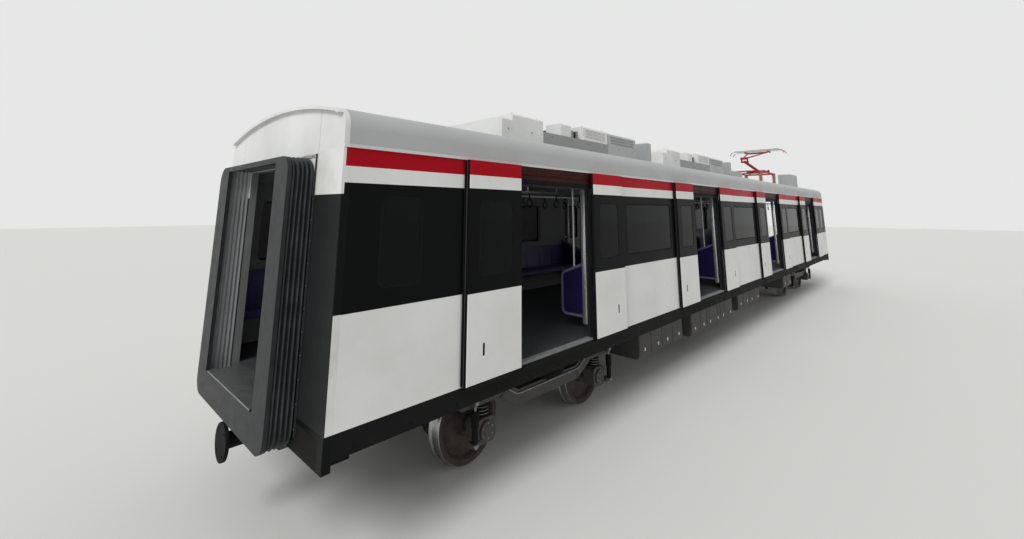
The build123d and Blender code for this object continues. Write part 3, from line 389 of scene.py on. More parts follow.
# Typical values for each finish: sizes in millimetres, colours in sRGB
finishTable = {
    # two-pack coach enamel sprayed on aluminium: satin gloss, faint orange peel, a film of dust
    "coachEnamel": dict(
        colour=paint["white"], rules=sideBands + doorSurrounds + sideLining, patchMm=620, soil="#B9B4AA",
        soilShare=0.16, soilBlend="MULTIPLY", rough=(0.26, 0.40), ior=1.45, specular=0.06, grainMm=9,
        grainDepthMm=0.04, grainStrength=0.2),
    # the same enamel on the welded end wall, duller from brake dust; round the corner it follows the side
    "endEnamel": dict(
        colour=paint["white"], rules=endBands, patchMm=420, soil="#B3ADA2", soilShare=0.34,
        soilBlend="MULTIPLY", rough=(0.34, 0.5), ior=1.45, specular=0.1, grainMm=11, grainDepthMm=0.05,
        grainStrength=0.2),
    # matt grey enamel rolled on the roof, chalky and dusty, with white end caps; the band along the gutter is
    # paler, a painted highlight
    "roofEnamel": dict(
        colour=paint["roof"], rules=roofEdges, patchMm=700, soil="#8B8A86", soilShare=0.18,
        rough=(0.42, 0.62), ior=1.45, specular=0.3, grainMm=14, grainDepthMm=0.1),
    # black enamel on the door pillars, rubbed by bags to a dull sheen
    "pillarEnamel": dict(
        colour="#1B1C1E", patchMm=150, soil="#34353A", soilShare=0.4, rough=(0.35, 0.6), ior=1.45,
        specular=0.25, grainMm=6, grainDepthMm=0.05),
    # extruded aluminium, satin anodised: fine die lines along the car, scuffed by feet
    "anodisedAluminium": dict(
        colour="#A6A8A9", patchMm=160, soil="#6E6E6C", soilShare=0.25, rough=(0.3, 0.48), metallic=0.9,
        grainMm=2.5, grainWay=(0.02, 1, 1), grainDepthMm=0.05),
    # threshold of the same metal; the hanging track is painted like the stripe, and dark red over a doorway
    # as painted shade
    "trackMetal": dict(
        colour="#B0B2B3", rules=trackBands, patchMm=160, soil="#8E8C88", soilShare=0.4, soilBlend="MULTIPLY",
        rough=(0.4, 0.55), metallic=0.5, specular=0.1, grainMm=2.5, grainWay=(0.02, 1, 1), grainDepthMm=0.05),
    # dark red on the covers over a doorway, above and below the hanging track: painted shade of the red
    # stripe in the recess
    "coverEnamel": dict(
        colour=paint["shadedRed"], patchMm=200, soil="#1E1213", soilShare=0.6, rough=(0.4, 0.6), ior=1.45,
        specular=0.12, grainMm=8, grainDepthMm=0.05),
    # toughened glass with a dark film: almost black from outside, with a clean gloss
    "tintedGlass": dict(colour="#090B0C", patchMm=900, rough=(0.05, 0.10), ior=1.5, alpha=0.9, specular=0.10),
    # extruded EPDM seal: matt black with a soft sheen
    "sealRubber": dict(
        colour="#0F0F10", patchMm=90, rough=(0.6, 0.8), ior=1.45, specular=0.12, grainMm=3,
        grainDepthMm=0.05),
    # rubber-coated polyester bellows cloth: dull, dusty on the ridges, fine weave drawn coarse at 5 mm
    "bellowsCloth": dict(
        colour="#2B2D2F", patchMm=130, soil="#5E5F62", soilShare=0.3, rough=(0.6, 0.85), ior=1.45,
        specular=0.25, sheen=0.1, grainMm=5, grainDepthMm=0.3, grainStrength=0.5),
    # matt black chassis paint over steel, brown with track dust
    "chassisPaint": dict(
        colour=paint["chassis"], patchMm=240, soil="#25221F", soilShare=0.4, rough=(0.55, 0.8), ior=1.45,
        specular=0.12, grainMm=7, grainDepthMm=0.25),
    # satin black enamel of the gangway's clamping frame, rubbed grey at the edges
    "frameEnamel": dict(
        colour="#242527", patchMm=140, soil="#3E3F42", soilShare=0.35, rough=(0.4, 0.6), ior=1.45,
        specular=0.3, grainMm=8, grainDepthMm=0.08),
    # dark grey two-pack on welded bogie steel, dusty and slightly rough from casting
    "bogieEnamel": dict(
        colour="#3F4245", patchMm=170, soil="#5D5145", soilShare=0.5, rough=(0.45, 0.72), ior=1.45,
        specular=0.3, grainMm=6, grainDepthMm=0.3),
    # stainless tube, ground along its length: bright with fine lines
    "groundStainless": dict(
        colour="#D2D3D3", patchMm=120, rough=(0.24, 0.38), metallic=0.85, grainMm=3, grainWay=(1, 1, 0.05),
        grainDepthMm=0.02),
    # stainless tread plate with raised lens-shaped studs, 30 mm apart
    "treadPlate": dict(
        colour="#9A9B9C", patchMm=90, soil="#5A5956", soilShare=0.4, rough=(0.35, 0.55), metallic=0.9,
        grainMm=30, grainWay=(1, 0.5, 1), grainDepthMm=1.2, grainStrength=0.9, studded=True),
    # moulded glass-fibre lining: pale, softly glossy gelcoat
    "gelcoatLining": dict(
        colour="#9C9EA0", patchMm=480, soil="#7F8080", soilShare=0.2, rough=(0.35, 0.5), ior=1.5, grainMm=6,
        grainDepthMm=0.06),
    # moulded polyester seat shell in dark violet, worn smoother where people sit
    "seatMoulding": dict(
        colour="#332D5E", patchMm=210, soil="#56518A", soilShare=0.35, rough=(0.28, 0.5), ior=1.5, grainMm=3,
        grainDepthMm=0.08),
    # violet laminate in a paler frame: glossy, wiped clean
    "screenLaminate": dict(
        colour=paint["screenFrame"], rules=screenPanels, patchMm=300, soil="#A9A4BC", soilShare=0.4,
        soilBlend="MULTIPLY", rough=(0.12, 0.25), ior=1.5, specular=0.3, grainMm=8, grainDepthMm=0.03),
    # rolled rubber flooring with pale flecks, drawn as patches of 18 mm
    "fleckedRubber": dict(
        colour="#2C2E32", patchMm=18, soil="#606266", soilShare=0.4, rough=(0.5, 0.7), ior=1.5, grainMm=5,
        grainDepthMm=0.1),
    # red enamel on the collector's steel tubes, faded by the sun
    "collectorEnamel": dict(
        colour="#A3202A", patchMm=110, soil="#6E2B2B", soilShare=0.4, rough=(0.35, 0.55), ior=1.45,
        specular=0.35, grainMm=5, grainDepthMm=0.08),
    # the collector head: enamelled frame, aluminium carriers, carbon strips
    "headMetals": dict(
        colour="#98222B", rules=headLayers, patchMm=90, soil="#5C4A46", soilShare=0.2, rough=(0.35, 0.55),
        ior=1.45, specular=0.35, grainMm=4, grainDepthMm=0.08),
    # silicone rubber insulator: brick red, matt and dusty
    "siliconeRubber": dict(
        colour="#A0605A", patchMm=60, soil="#C9B7B2", soilShare=0.5, rough=(0.5, 0.7), ior=1.43),
    # powder-coated sheet of the air units: white hoods, a grey condenser end and tray, faint texture
    "powderCoat": dict(
        colour=paint["white"], rules=unitSheets, patchMm=380, soil="#9A9A96", soilShare=0.25,
        rough=(0.36, 0.55), ior=1.5, grainMm=5, grainDepthMm=0.1),
    # galvanised sheet: grey with fine crystals
    "galvanisedSheet": dict(
        colour="#A9ACAC", patchMm=16, soil="#989B9C", soilShare=0.4, rough=(0.38, 0.55), metallic=0.35),
    # rolled wheel steel: brown oxide on the web
    "wheelWeb": dict(
        colour="#453D37", patchMm=90, soil="#2F2B29", soilShare=0.7, rough=(0.55, 0.8), metallic=0.3,
        grainMm=5, grainDepthMm=0.2),
    # the tread, polished by the rail
    "wheelTread": dict(
        colour="#A8A6A3", patchMm=40, soil="#8A8784", soilShare=0.5, rough=(0.16, 0.32), metallic=1.0),
    # turned brake disc, dulled in patches by the pads
    "brakeDisc": dict(
        colour="#8D8A86", patchMm=30, soil="#6B645E", soilShare=0.5, rough=(0.25, 0.42), metallic=0.9),
    # zinc-plated bolts and pipes
    "zincPlate": dict(
        colour="#8C8D8A", patchMm=22, soil="#5F5A52", soilShare=0.45, rough=(0.35, 0.55), metallic=0.85),
    # copper pipe of the air units, dulled brown
    "dulledCopper": dict(
        colour="#9A6A48", patchMm=30, soil="#5F4A3B", soilShare=0.6, rough=(0.35, 0.55), metallic=0.9),
    # opal diffuser of the ceiling lights, dimly lit
    "opalDiffuser": dict(colour="#E9ECEC", patchMm=400, rough=(0.4, 0.5), ior=1.49, glow=0.35),
    # matt black inside an air intake and on cast compressors
    "ductBlack": dict(
        colour="#121314", patchMm=120, soil="#2A2928", soilShare=0.5, rough=(0.65, 0.9), specular=0.3,
        grainMm=6, grainDepthMm=0.2),
}
finishOf = {name: makeFinish(name, spec) for name, spec in finishTable.items()}
print("finishes:", len(finishOf))

# CAD nodes that keep their own shape, by finish
nodesIn = {
    "coachEnamel": "side_panels window_bands cantrails",
    "endEnamel": "end_walls",
    "roofEnamel": "roof",
    "trackMetal": "door_tracks",
    "tintedGlass": "side_glass",
    "chassisPaint": "sole_bars underframe couplers air_tanks",
    "bogieEnamel": "equipment_cases",
    "frameEnamel": "gangway_frames",
    "groundStainless": "grab_rails",
    "treadPlate": "bridge_plates",
    "pillarEnamel": "door_posts",
    "gelcoatLining": "ceiling",
    "seatMoulding": "seats",
    "screenLaminate": "screens",
    "fleckedRubber": "floor",
    "collectorEnamel": "collector_base lower_arm upper_arm",
    "headMetals": "collector_head",
    "siliconeRubber": "insulators",
    "powderCoat": "hvac_units",
    "galvanisedSheet": "roof_cases",
    "sealRubber": "air_springs_rear air_springs_front",
}
for where in bogieCentres:
    nodesIn["bogieEnamel"] += f" bogie_frame_{where} axleboxes_{where}"
for finish, names in nodesIn.items():
    for name in names.split():
        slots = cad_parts[name].data.materials
        slots.clear()
        slots.append(finishOf[finish])
print("frame nodes dressed")


# Door leaves: skin, seal, pane, edge profiles and hangers on one body each

doorLeaf = {
    "standoff": 0.020,       # gap between the side and a leaf
    "thick": 0.040,
    "foot": railTop + 1.14,
    "skinEdge": 0.004,       # chamfer round the outer skin
    "windowWidth": 0.50,
    "sealWidth": 0.016,
    "sealRise": 0.0012,
    "paneSink": 0.004,
    "paneThick": 0.008,
    "noseReach": 0.016,      # rubber nose along the meeting edge
    "edgeStrip": 0.0015,     # rubber strip on the trailing edge
    "shadeLipReach": 0.032,       # dark lip past the trailing edge: painted shade between the leaf and the side
    "shadeLipRoot": 0.008,
    "shadeLipDepth": 0.008,
    "shadeLipGreyReach": 0.009,    # grey band along that lip, past the trailing edge
    "pullFromEdge": 0.56,    # pull slot, from the meeting edge
    "pullSize": (0.026, 0.12),
    "pullFoot": railTop + 1.37,
    "pullDepth": 0.010,
    "hangerShift": 0.3,      # hangers, from the middle, as a share of the width
    "hangerHalf": 0.035,
}


def makeLeaf(name, hand, way):
    d = doorLeaf
    low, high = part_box(name)
    innerY = hand * (sideY + d["standoff"])
    outerY = innerY + hand * d["thick"]
    meeting, trailing = (low.x, high.x) if way > 0 else (high.x, low.x)
    noseRoot, stripRoot = meeting + way * d["noseReach"], trailing - way * d["edgeStrip"]
    x0, x1 = sorted((noseRoot, stripRoot))
    z0, z1 = d["foot"], eaves
    middle = (low.x + high.x) / 2
    bm = bmesh.new()
    # skin and lining, with the window cut through and the pull slot sunk in
    half = d["windowWidth"] / 2
    window = (middle - half, middle + half, glassFoot, glassTop, glassCorner)
    hole = roundedLoop(*window)
    wide, tall = d["pullSize"]
    left, foot = meeting + way * d["pullFromEdge"] - wide / 2, d["pullFoot"]
    pull = roundedLoop(left, left + wide, foot, foot + tall, wide * 0.49, 4)
    e = d["skinEdge"]
    rim = [(x1, z0), (x1, z1), (x0, z1), (x0, z0)]
    inset = [(x1 - e, z0 + e), (x1 - e, z1 - e), (x0 + e, z1 - e), (x0 + e, z0 + e)]
    addSheet(bm, inset, [hole, pull], outerY, 0)
    addLoft(bm, [atY(inset, outerY), atY(rim, outerY - hand * e), atY(rim, innerY)], 0)
    addSheet(bm, rim, [hole], innerY, 1)
    addLoft(bm, [atY(hole, outerY), atY(hole, innerY)], 2)
    slotY = outerY - hand * d["pullDepth"]
    addLoft(bm, [atY(pull, outerY), atY(pull, slotY)], 2)
    addSheet(bm, pull, [], slotY, 2)
    # seal round the pane, a soft ridge on each face
    section = ((0.0, -0.004), (0.1, 0.8), (0.3, 1.0), (0.6, 0.5), (1.0, -1.5), (1.0, -5.0))
    for faceY, out in ((outerY, hand), (innerY, -hand)):
        addSeal(bm, window, 6, d["sealWidth"], faceY, out * d["sealRise"], section, 2)
    pane = roundedLoop(*window, shrink=d["sealWidth"] * 0.8)
    paneY = outerY - hand * d["paneSink"]
    backY = paneY - hand * d["paneThick"]
    addSheet(bm, pane, [], paneY, 3)
    addSheet(bm, pane, [], backY, 3)
    addLoft(bm, [atY(pane, paneY), atY(pane, backY)], 3)
    # meeting edge: a rounded rubber nose
    noseY, noseHalf = (outerY + innerY) / 2, d["thick"] / 2 - 0.003
    nose = [(noseRoot - way * d["noseReach"] * math.sin(t), noseY - hand * noseHalf * math.cos(t))
            for t in turns(16)[:9]]
    addLoft(bm, [[(x, y, z) for x, y in nose] for z in (z0 + 0.002, z1 - 0.002)], 2, capped=True)
    # trailing edge: a black rubber strip, and a dark lip past it along the side, grey then black, that stands
    # in as painted shade where the leaf stands off the side
    addBox(bm, (trailing, outerY - hand * (e + 0.0005), z0), (stripRoot, innerY, z1), 2, 0.0005)
    # root of the painted-shade lip, end of its grey band (holder), and its tip
    root, holder, tip = [trailing + way * reach for reach in (-d["shadeLipRoot"], d["shadeLipGreyReach"], d["shadeLipReach"])]
    shadeLipY = innerY - hand * d["shadeLipDepth"]
    for near, far, tone in ((root, holder, 5), (holder, tip, 2)):
        addBox(bm, (near, innerY + hand * 0.004, z0 + 0.004), (far, shadeLipY, z1 - 0.012), tone)
    # hangers on the track, and a rubber sweep below
    for side in (-1, 1):
        x = middle + side * d["hangerShift"] * (high.x - low.x)
        hangerY = hand * (sideY + 0.005)
        addBlock(bm, x, d["hangerHalf"], (hangerY, innerY), (trackTop + 0.0003, trackTop + 0.03), 4)
    sweepY = (outerY - hand * 0.010, innerY + hand * 0.010)
    addBlock(bm, (x0 + x1) / 2, (x1 - x0) / 2 - 0.01, sweepY, (z0 - 0.0005, z0 + 0.012), 2)
    finishes = "coachEnamel gelcoatLining sealRubber tintedGlass anodisedAluminium bogieEnamel"
    finishPiece(bm, "leafPiece_" + name[5:], finishes, name, [name])


for hand, letter in ((-1, "r"), (1, "l")):
    for number, (way, where) in product(range(1, 5), ((-1, "rear"), (1, "front"))):
        makeLeaf(f"leaf_{letter}{number}_{where}", hand, way)
print("door leaves: 16")


# Body side: window seals, door portals, grab bars and sill bolts

sideTrim = {
    "endWindow": 0.42,       # length of the windows beside the end walls
    "windowHalf": 0.75,
    "glassGap": 0.0003,
    "sealWidth": 0.018,
    "sealRise": 0.0008,
    "coverDepth": 0.0015,
    "dripFoot": doorHead - 0.016,
    "handrailX": 0.058,      # flat grab bar beside an opening, from its edge
    "handrailIn": 0.150,     # and inwards from the side
    "wallIn": 0.080,
    "handrailHalf": (0.012, 0.036),
    "handrailFoot": floorTop + 0.135,
    "handrailTop": doorHead - 0.02,
    "boltPitch": 0.5,
}


def makeWindowSeals():
    d = sideTrim
    low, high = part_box("side_glass")
    first, last = low.x - d["glassGap"], high.x + d["glassGap"]
    bays = [(first, first + d["endWindow"]), (last - d["endWindow"], last)]
    bays += [((a + b) / 2 - d["windowHalf"], (a + b) / 2 + d["windowHalf"])
             for a, b in zip(doorCentres, doorCentres[1:])]
    section = ((-0.35, 0.0), (-0.3, 0.9), (0.0, 1.0), (0.5, 0.2), (1.0, -2.4), (1.0, -4.0))
    bm = bmesh.new()
    for hand, (x0, x1) in product((-1, 1), bays):
        window = (x0, x1, glassFoot, glassTop, glassCorner)
        addSeal(bm, window, 8, d["sealWidth"], hand * sideY, hand * d["sealRise"], section)
    finishPiece(bm, "windowSeals", "sealRubber")


def makeDoorPortals():
    d = sideTrim
    bm = bmesh.new()
    covers = ((doorHead, redStripeFoot, 0), (redStripeFoot, trackFoot - 0.001, 2),
              (trackTop + 0.001, eaves - 0.003, 2))
    # rubber down each jamb and an enamelled frame behind it: lap over the edge, from, to, finish, bevel
    jamb = ((0.008, 0.006, 0.030, 0, 0.003), (0.003, 0.034, surroundDepth, 1, 0.001))
    for hand, centre in product((-1, 1), doorCentres):
        # covers over the opening: black below, dark red on both sides of the track as painted shade, and a
        # drip edge
        across = (hand * (sideY - 0.002), hand * (sideY + d["coverDepth"]))
        for z0, z1, tone in covers:
            addBlock(bm, centre, doorHalf + coverReach, across, (z0, z1), tone, 0.001)
        across = (hand * (sideY - 0.07), hand * (sideY - 0.008))
        addBlock(bm, centre, doorHalf, across, (d["dripFoot"], doorHead), 1, 0.003)
        for way, (lap, near, far, tone, bevel) in product((-1, 1), jamb):
            edge = centre + way * doorHalf
            addBox(bm, (edge - way * lap, hand * (sideY - near), floorTop),
                   (edge + way * 0.001, hand * (sideY - far), d["dripFoot"]), tone, bevel)
    finishPiece(bm, "doorPortals", "sealRubber pillarEnamel coverEnamel")


def makeDoorHandrails():
    d = sideTrim
    foot, top = d["handrailFoot"], d["handrailTop"]
    wide, deep = d["handrailHalf"]
    # heights, and the size there as a share of the bar's whole section
    rows = ((foot - 0.008, 0.3), (foot - 0.006, 0.75), (foot, 1),
            (top, 1), (top + 0.006, 0.75), (top + 0.008, 0.3))
    bm = bmesh.new()
    for hand, centre, way in product((-1, 1), doorCentres, (-1, 1)):
        x, y = centre + way * (doorHalf + d["handrailX"]), hand * (sideY - d["handrailIn"])
        loops = [[(x + share * wide * math.cos(t), y + share * deep * math.sin(t), z) for t in turns(24)]
                 for z, share in rows]
        addLoft(bm, loops, capped=True)
        # brackets, each with a flange on the wall
        wallY = hand * (sideY - d["wallIn"] + 0.001)
        for z in (foot + 0.05, (foot + top) / 2, top - 0.05):
            addRod(bm, (x, y, z), (x, wallY, z), 0.010, 0, 12)
            addRod(bm, (x, wallY - hand * 0.006, z), (x, wallY, z), 0.024)
    finishPiece(bm, "doorHandrails", "groundStainless")


def makeSillBolts():
    # a row of bolts along each sole bar
    d = sideTrim
    low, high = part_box("sole_bars")
    z = (low.z + high.z) / 2 - 0.045
    count = int((2 * bodyEnd - 0.4) / d["boltPitch"])
    bm = bmesh.new()
    for hand, k in product((-1, 1), range(count + 1)):
        addBolt(bm, (-bodyEnd + 0.25 + k * d["boltPitch"], hand * sideY, z), (0, hand, 0), 0.010)
    finishPiece(bm, "sillBolts", "chassisPaint")


makeWindowSeals()
makeDoorPortals()
makeDoorHandrails()
makeSillBolts()
print("body sides trimmed")


# Gangway: folded bellows with rounded ridges, lining folds and clamp rails

gangway = {
    "folds": 5,
    "depth": 0.195,
    "foldDepth": 0.043,
    # half width, foot, top, corner
    "outer": (0.99, railTop + 0.88, railTop + 3.2, 0.15),
    "lining": (0.767, floorTop - 0.092, floorTop + 2.062, 0.06),
    "samples": 8,            # loops in each fold
    "points": 120,           # points in each loop
    "longest": 0.12,         # of the straight stretches that a loop is first split in
    "sag": 0.0025,
    "sagWaves": (7, 5),      # radians for each metre across and up
    "ridgePower": 1.6,       # above 1 the ridges are round and the valleys sharp
    "cordRadius": 0.0026,
    "middleZ": 2.0,
    "railLap": 0.028,        # clamp rails, past the cloth
    "railWidth": 0.030,
    "screwPitch": 0.18,
}


def clothLoop(x, size, shrink, waver=0.0, phase=0.0):
    # evenly spaced points round one ring of the cloth, whose long sides waver a little
    d = gangway
    half, foot, top, corner = size
    across, up = d["sagWaves"]
    loop = roundedLoop(-half, half, foot, top, corner, 5, shrink)
    points = []
    for (y0, z0), (y1, z1) in zip(loop, loop[1:] + loop[:1]):
        pieces = max(1, int(math.dist((y0, z0), (y1, z1)) / d["longest"]))
        for k in range(pieces):
            y, z = y0 + (y1 - y0) * k / pieces, z0 + (z1 - z0) * k / pieces
            points.append((x + waver * math.sin(across * y + up * z + phase), y, z))
    points.append(points[0])
    along = [0.0]
    for a, b in zip(points, points[1:]):
        along.append(along[-1] + math.dist(a, b))
    spaced, k = [], 0
    for i in range(d["points"]):
        target = along[-1] * i / d["points"]
        while along[k + 1] < target:
            k += 1
        share = (target - along[k]) / max(along[k + 1] - along[k], 1e-9)
        spaced.append(tuple(p + (q - p) * share for p, q in zip(points[k], points[k + 1])))
    return spaced


def makeBellows():
    d = gangway
    step, middle = d["depth"] / d["folds"], d["middleZ"]
    bm = bmesh.new()
    for end in (-1, 1):
        outer, inner = [], []
        for k in range(d["folds"] * d["samples"] + 1):
            phase = k / d["samples"]
            wave = 0.5 + 0.5 * math.cos(2 * math.pi * phase)
            x = end * (bodyEnd + 0.0005 + step * phase * 0.998)
            # cloth hangs in round ridges with sharp valleys
            sway = d["sag"] * math.sin(math.pi * phase / d["folds"])
            shrink = d["foldDepth"] * wave ** d["ridgePower"]
            outer.append(clothLoop(x, d["outer"], shrink, sway, 1.7 * round(phase)))
            inner.append(clothLoop(x, d["lining"], 0.01 * wave))
        addLoft(bm, outer + inner[::-1], [0] * len(outer) + [1] * (len(inner) - 1))
        # sewn edge cords on the ridges
        for fold in range(d["folds"]):
            loop = clothLoop(end * (bodyEnd + step * (fold + 0.5)), d["outer"], 0.0015)
            section = []
            for a in turns(3):
                across, up = d["cordRadius"] * math.sin(a), d["cordRadius"] * math.cos(a)
                widen = 1 + 0.0015 * math.cos(a)
                section.append([(x + across, y * widen, z + (up if z > middle else -up)) for x, y, z in loop])
            addLoft(bm, section + section[:1], 2)
    finishPiece(bm, "bellowsFolds", "bellowsCloth gelcoatLining sealRubber",
                replaced=["bellows"], sharpAngle=60)


def makeClampRails():
    # clamp rails that hold the cloth on the end wall, down both sides and along the top, with their screws
    d = gangway
    half, foot, top, _ = d["outer"]
    half, foot, top = half + d["railLap"], foot + 0.10, top + d["railLap"]
    wide = d["railWidth"]
    bm = bmesh.new()
    for end in (-1, 1):
        x0, x1 = end * bodyEnd, end * (bodyEnd + 0.006)
        screws = [(y, top - wide / 2) for y in spread(-half + 0.1, half, d["screwPitch"])]
        for hand in (-1, 1):
            addBox(bm, (x0, hand * half, foot), (x1, hand * (half - wide), top), 0, 0.0015)
            screws += [(hand * (half - wide / 2), z) for z in spread(foot + 0.06, top, d["screwPitch"])]
        addBox(bm, (x0, -half, top - wide), (x1, half, top), 2, 0.0015)
        for y, z in screws:
            addBolt(bm, (x1, y, z), (end, 0, 0), 0.006, 1)
    finishPiece(bm, "bellowsClampRails", "frameEnamel zincPlate anodisedAluminium")


makeBellows()
makeClampRails()
print("gangways folded")


# Roof: louvre blades, fans and compressors of the air units, lids, latches and cables

roofKit = {
    "crown": railTop + 3.74,
    # breaker case and switch box: limits along the car, across it, and the top
    "cases": ((2.05, 3.55, -0.50, 0.50, railTop + 3.95), (8.15, 9.10, -0.90, -0.45, railTop + 4.15)),
    "lidInset": 0.03,
    "screwInset": (0.06, 0.055),
    "screwPitch": 0.2,
    "latches": (0.22, 0.78), # shares of a case's length
    "cableRadius": 0.019,
    # power cables: place along the car, place across it, and drop below the crown
    "cableRoute": ((3.50, -0.10, 0), (7.80, -0.10, 0), (7.95, -0.14, 0), (8.10, -0.32, 0.004),
                   (8.20, -0.50, 0.016)),
    "unitHalf": 0.90,
    "louvred": ((1.85, 2.57, railTop + 4.08), (2.60, 3.55, railTop + 4.06)),
    "louvres": 3,
    "louvrePitch": 0.048,
    "louvreHeight": 0.026,
    "louvreDepth": 0.014,
    "louvreDrop": 0.05,      # the highest blade, from the hood's top
    "louvreInset": 0.071,    # and from the hood's ends
    "fan": (3.075, 0.43, railTop + 3.985),
    "blades": 7,
    # columns: radius, chord, twist in degrees
    "blade": ((0.085, 0.055, 38), (0.18, 0.09, 28), (0.30, 0.12, 18)),
    "guardRings": (0.15, 0.19, 0.265, 0.30),
    "guardRise": 0.072,
    "unitBolts": (8, 0.12, 0.47),    # count, place of the first, pitch
    "eyeSize": (0.02, 0.026),
    "clips": (3.9, 7.8, 0.75),       # from, to, pitch
    # lifting eyes: place along the unit and height of the hood
    "eyes": ((0.26, 4.03), (0.78, 4.03), (1.93, 4.08), (2.5, 4.08), (2.68, 4.06), (3.46, 4.06)),
    "compressor": (1.05, 0.42),
    "coils": ((1.33, 0.58), (1.60, 0.84), (1.72, 0.84)),     # place along the unit, half width
    "coilHalf": 0.03,
    "finPitch": 0.03,
}


def makeLouvreBlades():
    d = roofKit
    tall = d["louvreHeight"]
    outer, inner = d["unitHalf"] + 0.004, d["unitHalf"] - d["louvreDepth"] + 0.001
    section = ((inner, tall - 0.001), (inner, tall - 0.004), (outer, 0.004), (outer, 0.0065))
    bm = bmesh.new()
    for origin, (a, b, top), hand, k in product(unitOrigins, d["louvred"], (-1, 1), range(d["louvres"])):
        z = top - d["louvreDrop"] - tall - k * d["louvrePitch"]
        ends = (origin + a + d["louvreInset"], origin + b - d["louvreInset"])
        addLoft(bm, [[(x, hand * y, z + rise) for y, rise in section] for x in ends], capped=True)
    finishPiece(bm, "louvreBlades", "powderCoat")


def makeFans():
    d = roofKit
    fanX, fanY, fanZ = d["fan"]
    lift = Vector((0, 0, 0.004))
    bm = bmesh.new()
    for origin, side in product(unitOrigins, (-1, 1)):
        centre = Vector((origin + fanX, side * fanY, fanZ))
        for start in turns(d["blades"]):
            rows = []
            for r, chord, twist in d["blade"]:
                t, lean = start + 0.25 * (r - 0.08), math.radians(twist)
                spot = centre + r * Vector((math.cos(t), math.sin(t), 0))
                level = Vector((-math.sin(t), math.cos(t), 0))
                half = chord / 2 * (level * math.cos(lean) + Vector((0, 0, math.sin(lean))))
                rows.append([spot - half, spot + half, spot + half + lift, spot - half + lift])
            addLoft(bm, rows, capped=True)
        # fine wire rings between the guard's flat rings
        for radius in d["guardRings"]:
            addHoop(bm, centre + Vector((0, 0, d["guardRise"])), (0, 0, 1), radius, 0.0022, 1, 40, 5)
    finishPiece(bm, "unitFans", "ductBlack zincPlate")


def makeRoofFittings():
    d = roofKit
    count, first, pitch = d["unitBolts"]
    half, tall = d["eyeSize"]
    bm = bmesh.new()
    # bolts along the units, and lifting eyes on their hoods
    for origin, hand in product(unitOrigins, (-1, 1)):
        for k in range(count):
            x = origin + first + k * pitch
            addBolt(bm, (x, hand * d["unitHalf"], trayTop - 0.05), (0, hand, 0), 0.010)
        for x, top in d["eyes"]:
            y, z = hand * (d["unitHalf"] - 0.07), railTop + top
            points = [(origin + x, y - half * math.cos(t), z + tall * math.sin(t)) for t in turns(16)[:9]]
            addPipe(bm, points, 0.004, 1, 6)
    # lids with screws and latches on the roof cases
    for x0, x1, y0, y1, top in d["cases"]:
        edge = d["lidInset"]
        addBox(bm, (x0 + edge, y0 + edge, top - 0.001), (x1 - edge, y1 - edge, top + 0.005), 2)
        along, across = d["screwInset"]
        run = x1 - x0 - 2 * along
        count = max(2, round(run / d["screwPitch"]))
        for k, y in product(range(count + 1), (y0 + across, y1 - across)):
            addBolt(bm, (x0 + along + k * run / count, y, top + 0.004), (0, 0, 1), 0.008)
        for (y, hand), share in product(((y0, -1), (y1, 1)), d["latches"]):
            x, pinY = x0 + (x1 - x0) * share, y + hand * 0.008
            addBlock(bm, x, 0.014, (y - hand * 0.001, y + hand * 0.010), (top - 0.11, top - 0.045), 1, 0.003)
            addRod(bm, (x - 0.02, pinY, top - 0.05), (x + 0.02, pinY, top - 0.05), 0.005, 0, 10)
    # power cables along the crown, from the switch box to the breaker case, and their clips
    z = d["crown"] + d["cableRadius"]
    for shift in (0, 0.06):
        addPipe(bm, [(x, y - shift, z - drop) for x, y, drop in d["cableRoute"]], d["cableRadius"], 3, 12)
    for x in spread(*d["clips"]):
        addBlock(bm, x, 0.02, (-0.19, -0.07), (d["crown"] - 0.006, z + d["cableRadius"] + 0.004), 0, 0.004)
    finishPiece(bm, "roofFittings", "zincPlate groundStainless galvanisedSheet sealRubber")


def makeCompressors():
    # two compressors, a drier and copper pipes in each unit's open bay, and finned coils beside the hoods
    d = roofKit
    compressorX, compressorY = d["compressor"]
    shell = mirrored([(0.16, 0.085), (0.20, 0.078), (0.235, 0.05), (0.24, 0.02)])
    # pipes: place across, bend, reach, rise, top and radius
    pipes = ((-0.1, 0.05, 0.23, 0.20, 0.215, 0.011), (0.12, -0.05, -0.22, 0.19, 0.20, 0.014))
    bm = bmesh.new()
    for origin in unitOrigins:
        x = origin + compressorX
        for y in (-compressorY, compressorY):
            addLathe(bm, shell, (x, y, trayTop + 0.095), (0, 1, 0), 0, 28)
            for foot in (y - 0.14, y + 0.14):
                addBlock(bm, x, 0.09, (foot - 0.015, foot + 0.015), (trayTop - 0.001, trayTop + 0.03), 1)
            for across, bend, reach, rise, top, radius in pipes:
                points = [(x + dx, y + across, trayTop + dz)
                          for dx, dz in ((0, 0.17), (0, rise), (bend, top), (reach, top))]
                addPipe(bm, points, radius, 2)
        addRod(bm, (x - 0.12, 0, trayTop + 0.05), (x + 0.14, 0, trayTop + 0.05), 0.04, 1, 18)
        for start, half in d["coils"]:
            x, reach = origin + start + d["coilHalf"], d["coilHalf"]
            addBlock(bm, x, reach - 0.006, (0.02 - half, half - 0.02), (trayTop - 0.001, trayTop + 0.125))
            fins = int(2 * half / d["finPitch"])
            for k in range(fins + 1):
                y = -half + k * 2 * half / fins
                addBlock(bm, x, reach, (y - 0.002, y + 0.002), (trayTop - 0.001, trayTop + 0.13), 1, 0.0005)
    finishPiece(bm, "unitCompressors", "ductBlack zincPlate dulledCopper")


makeLouvreBlades()
makeFans()
makeRoofFittings()
makeCompressors()
print("roof fitted out")


# Collector: springs and a damper on the base

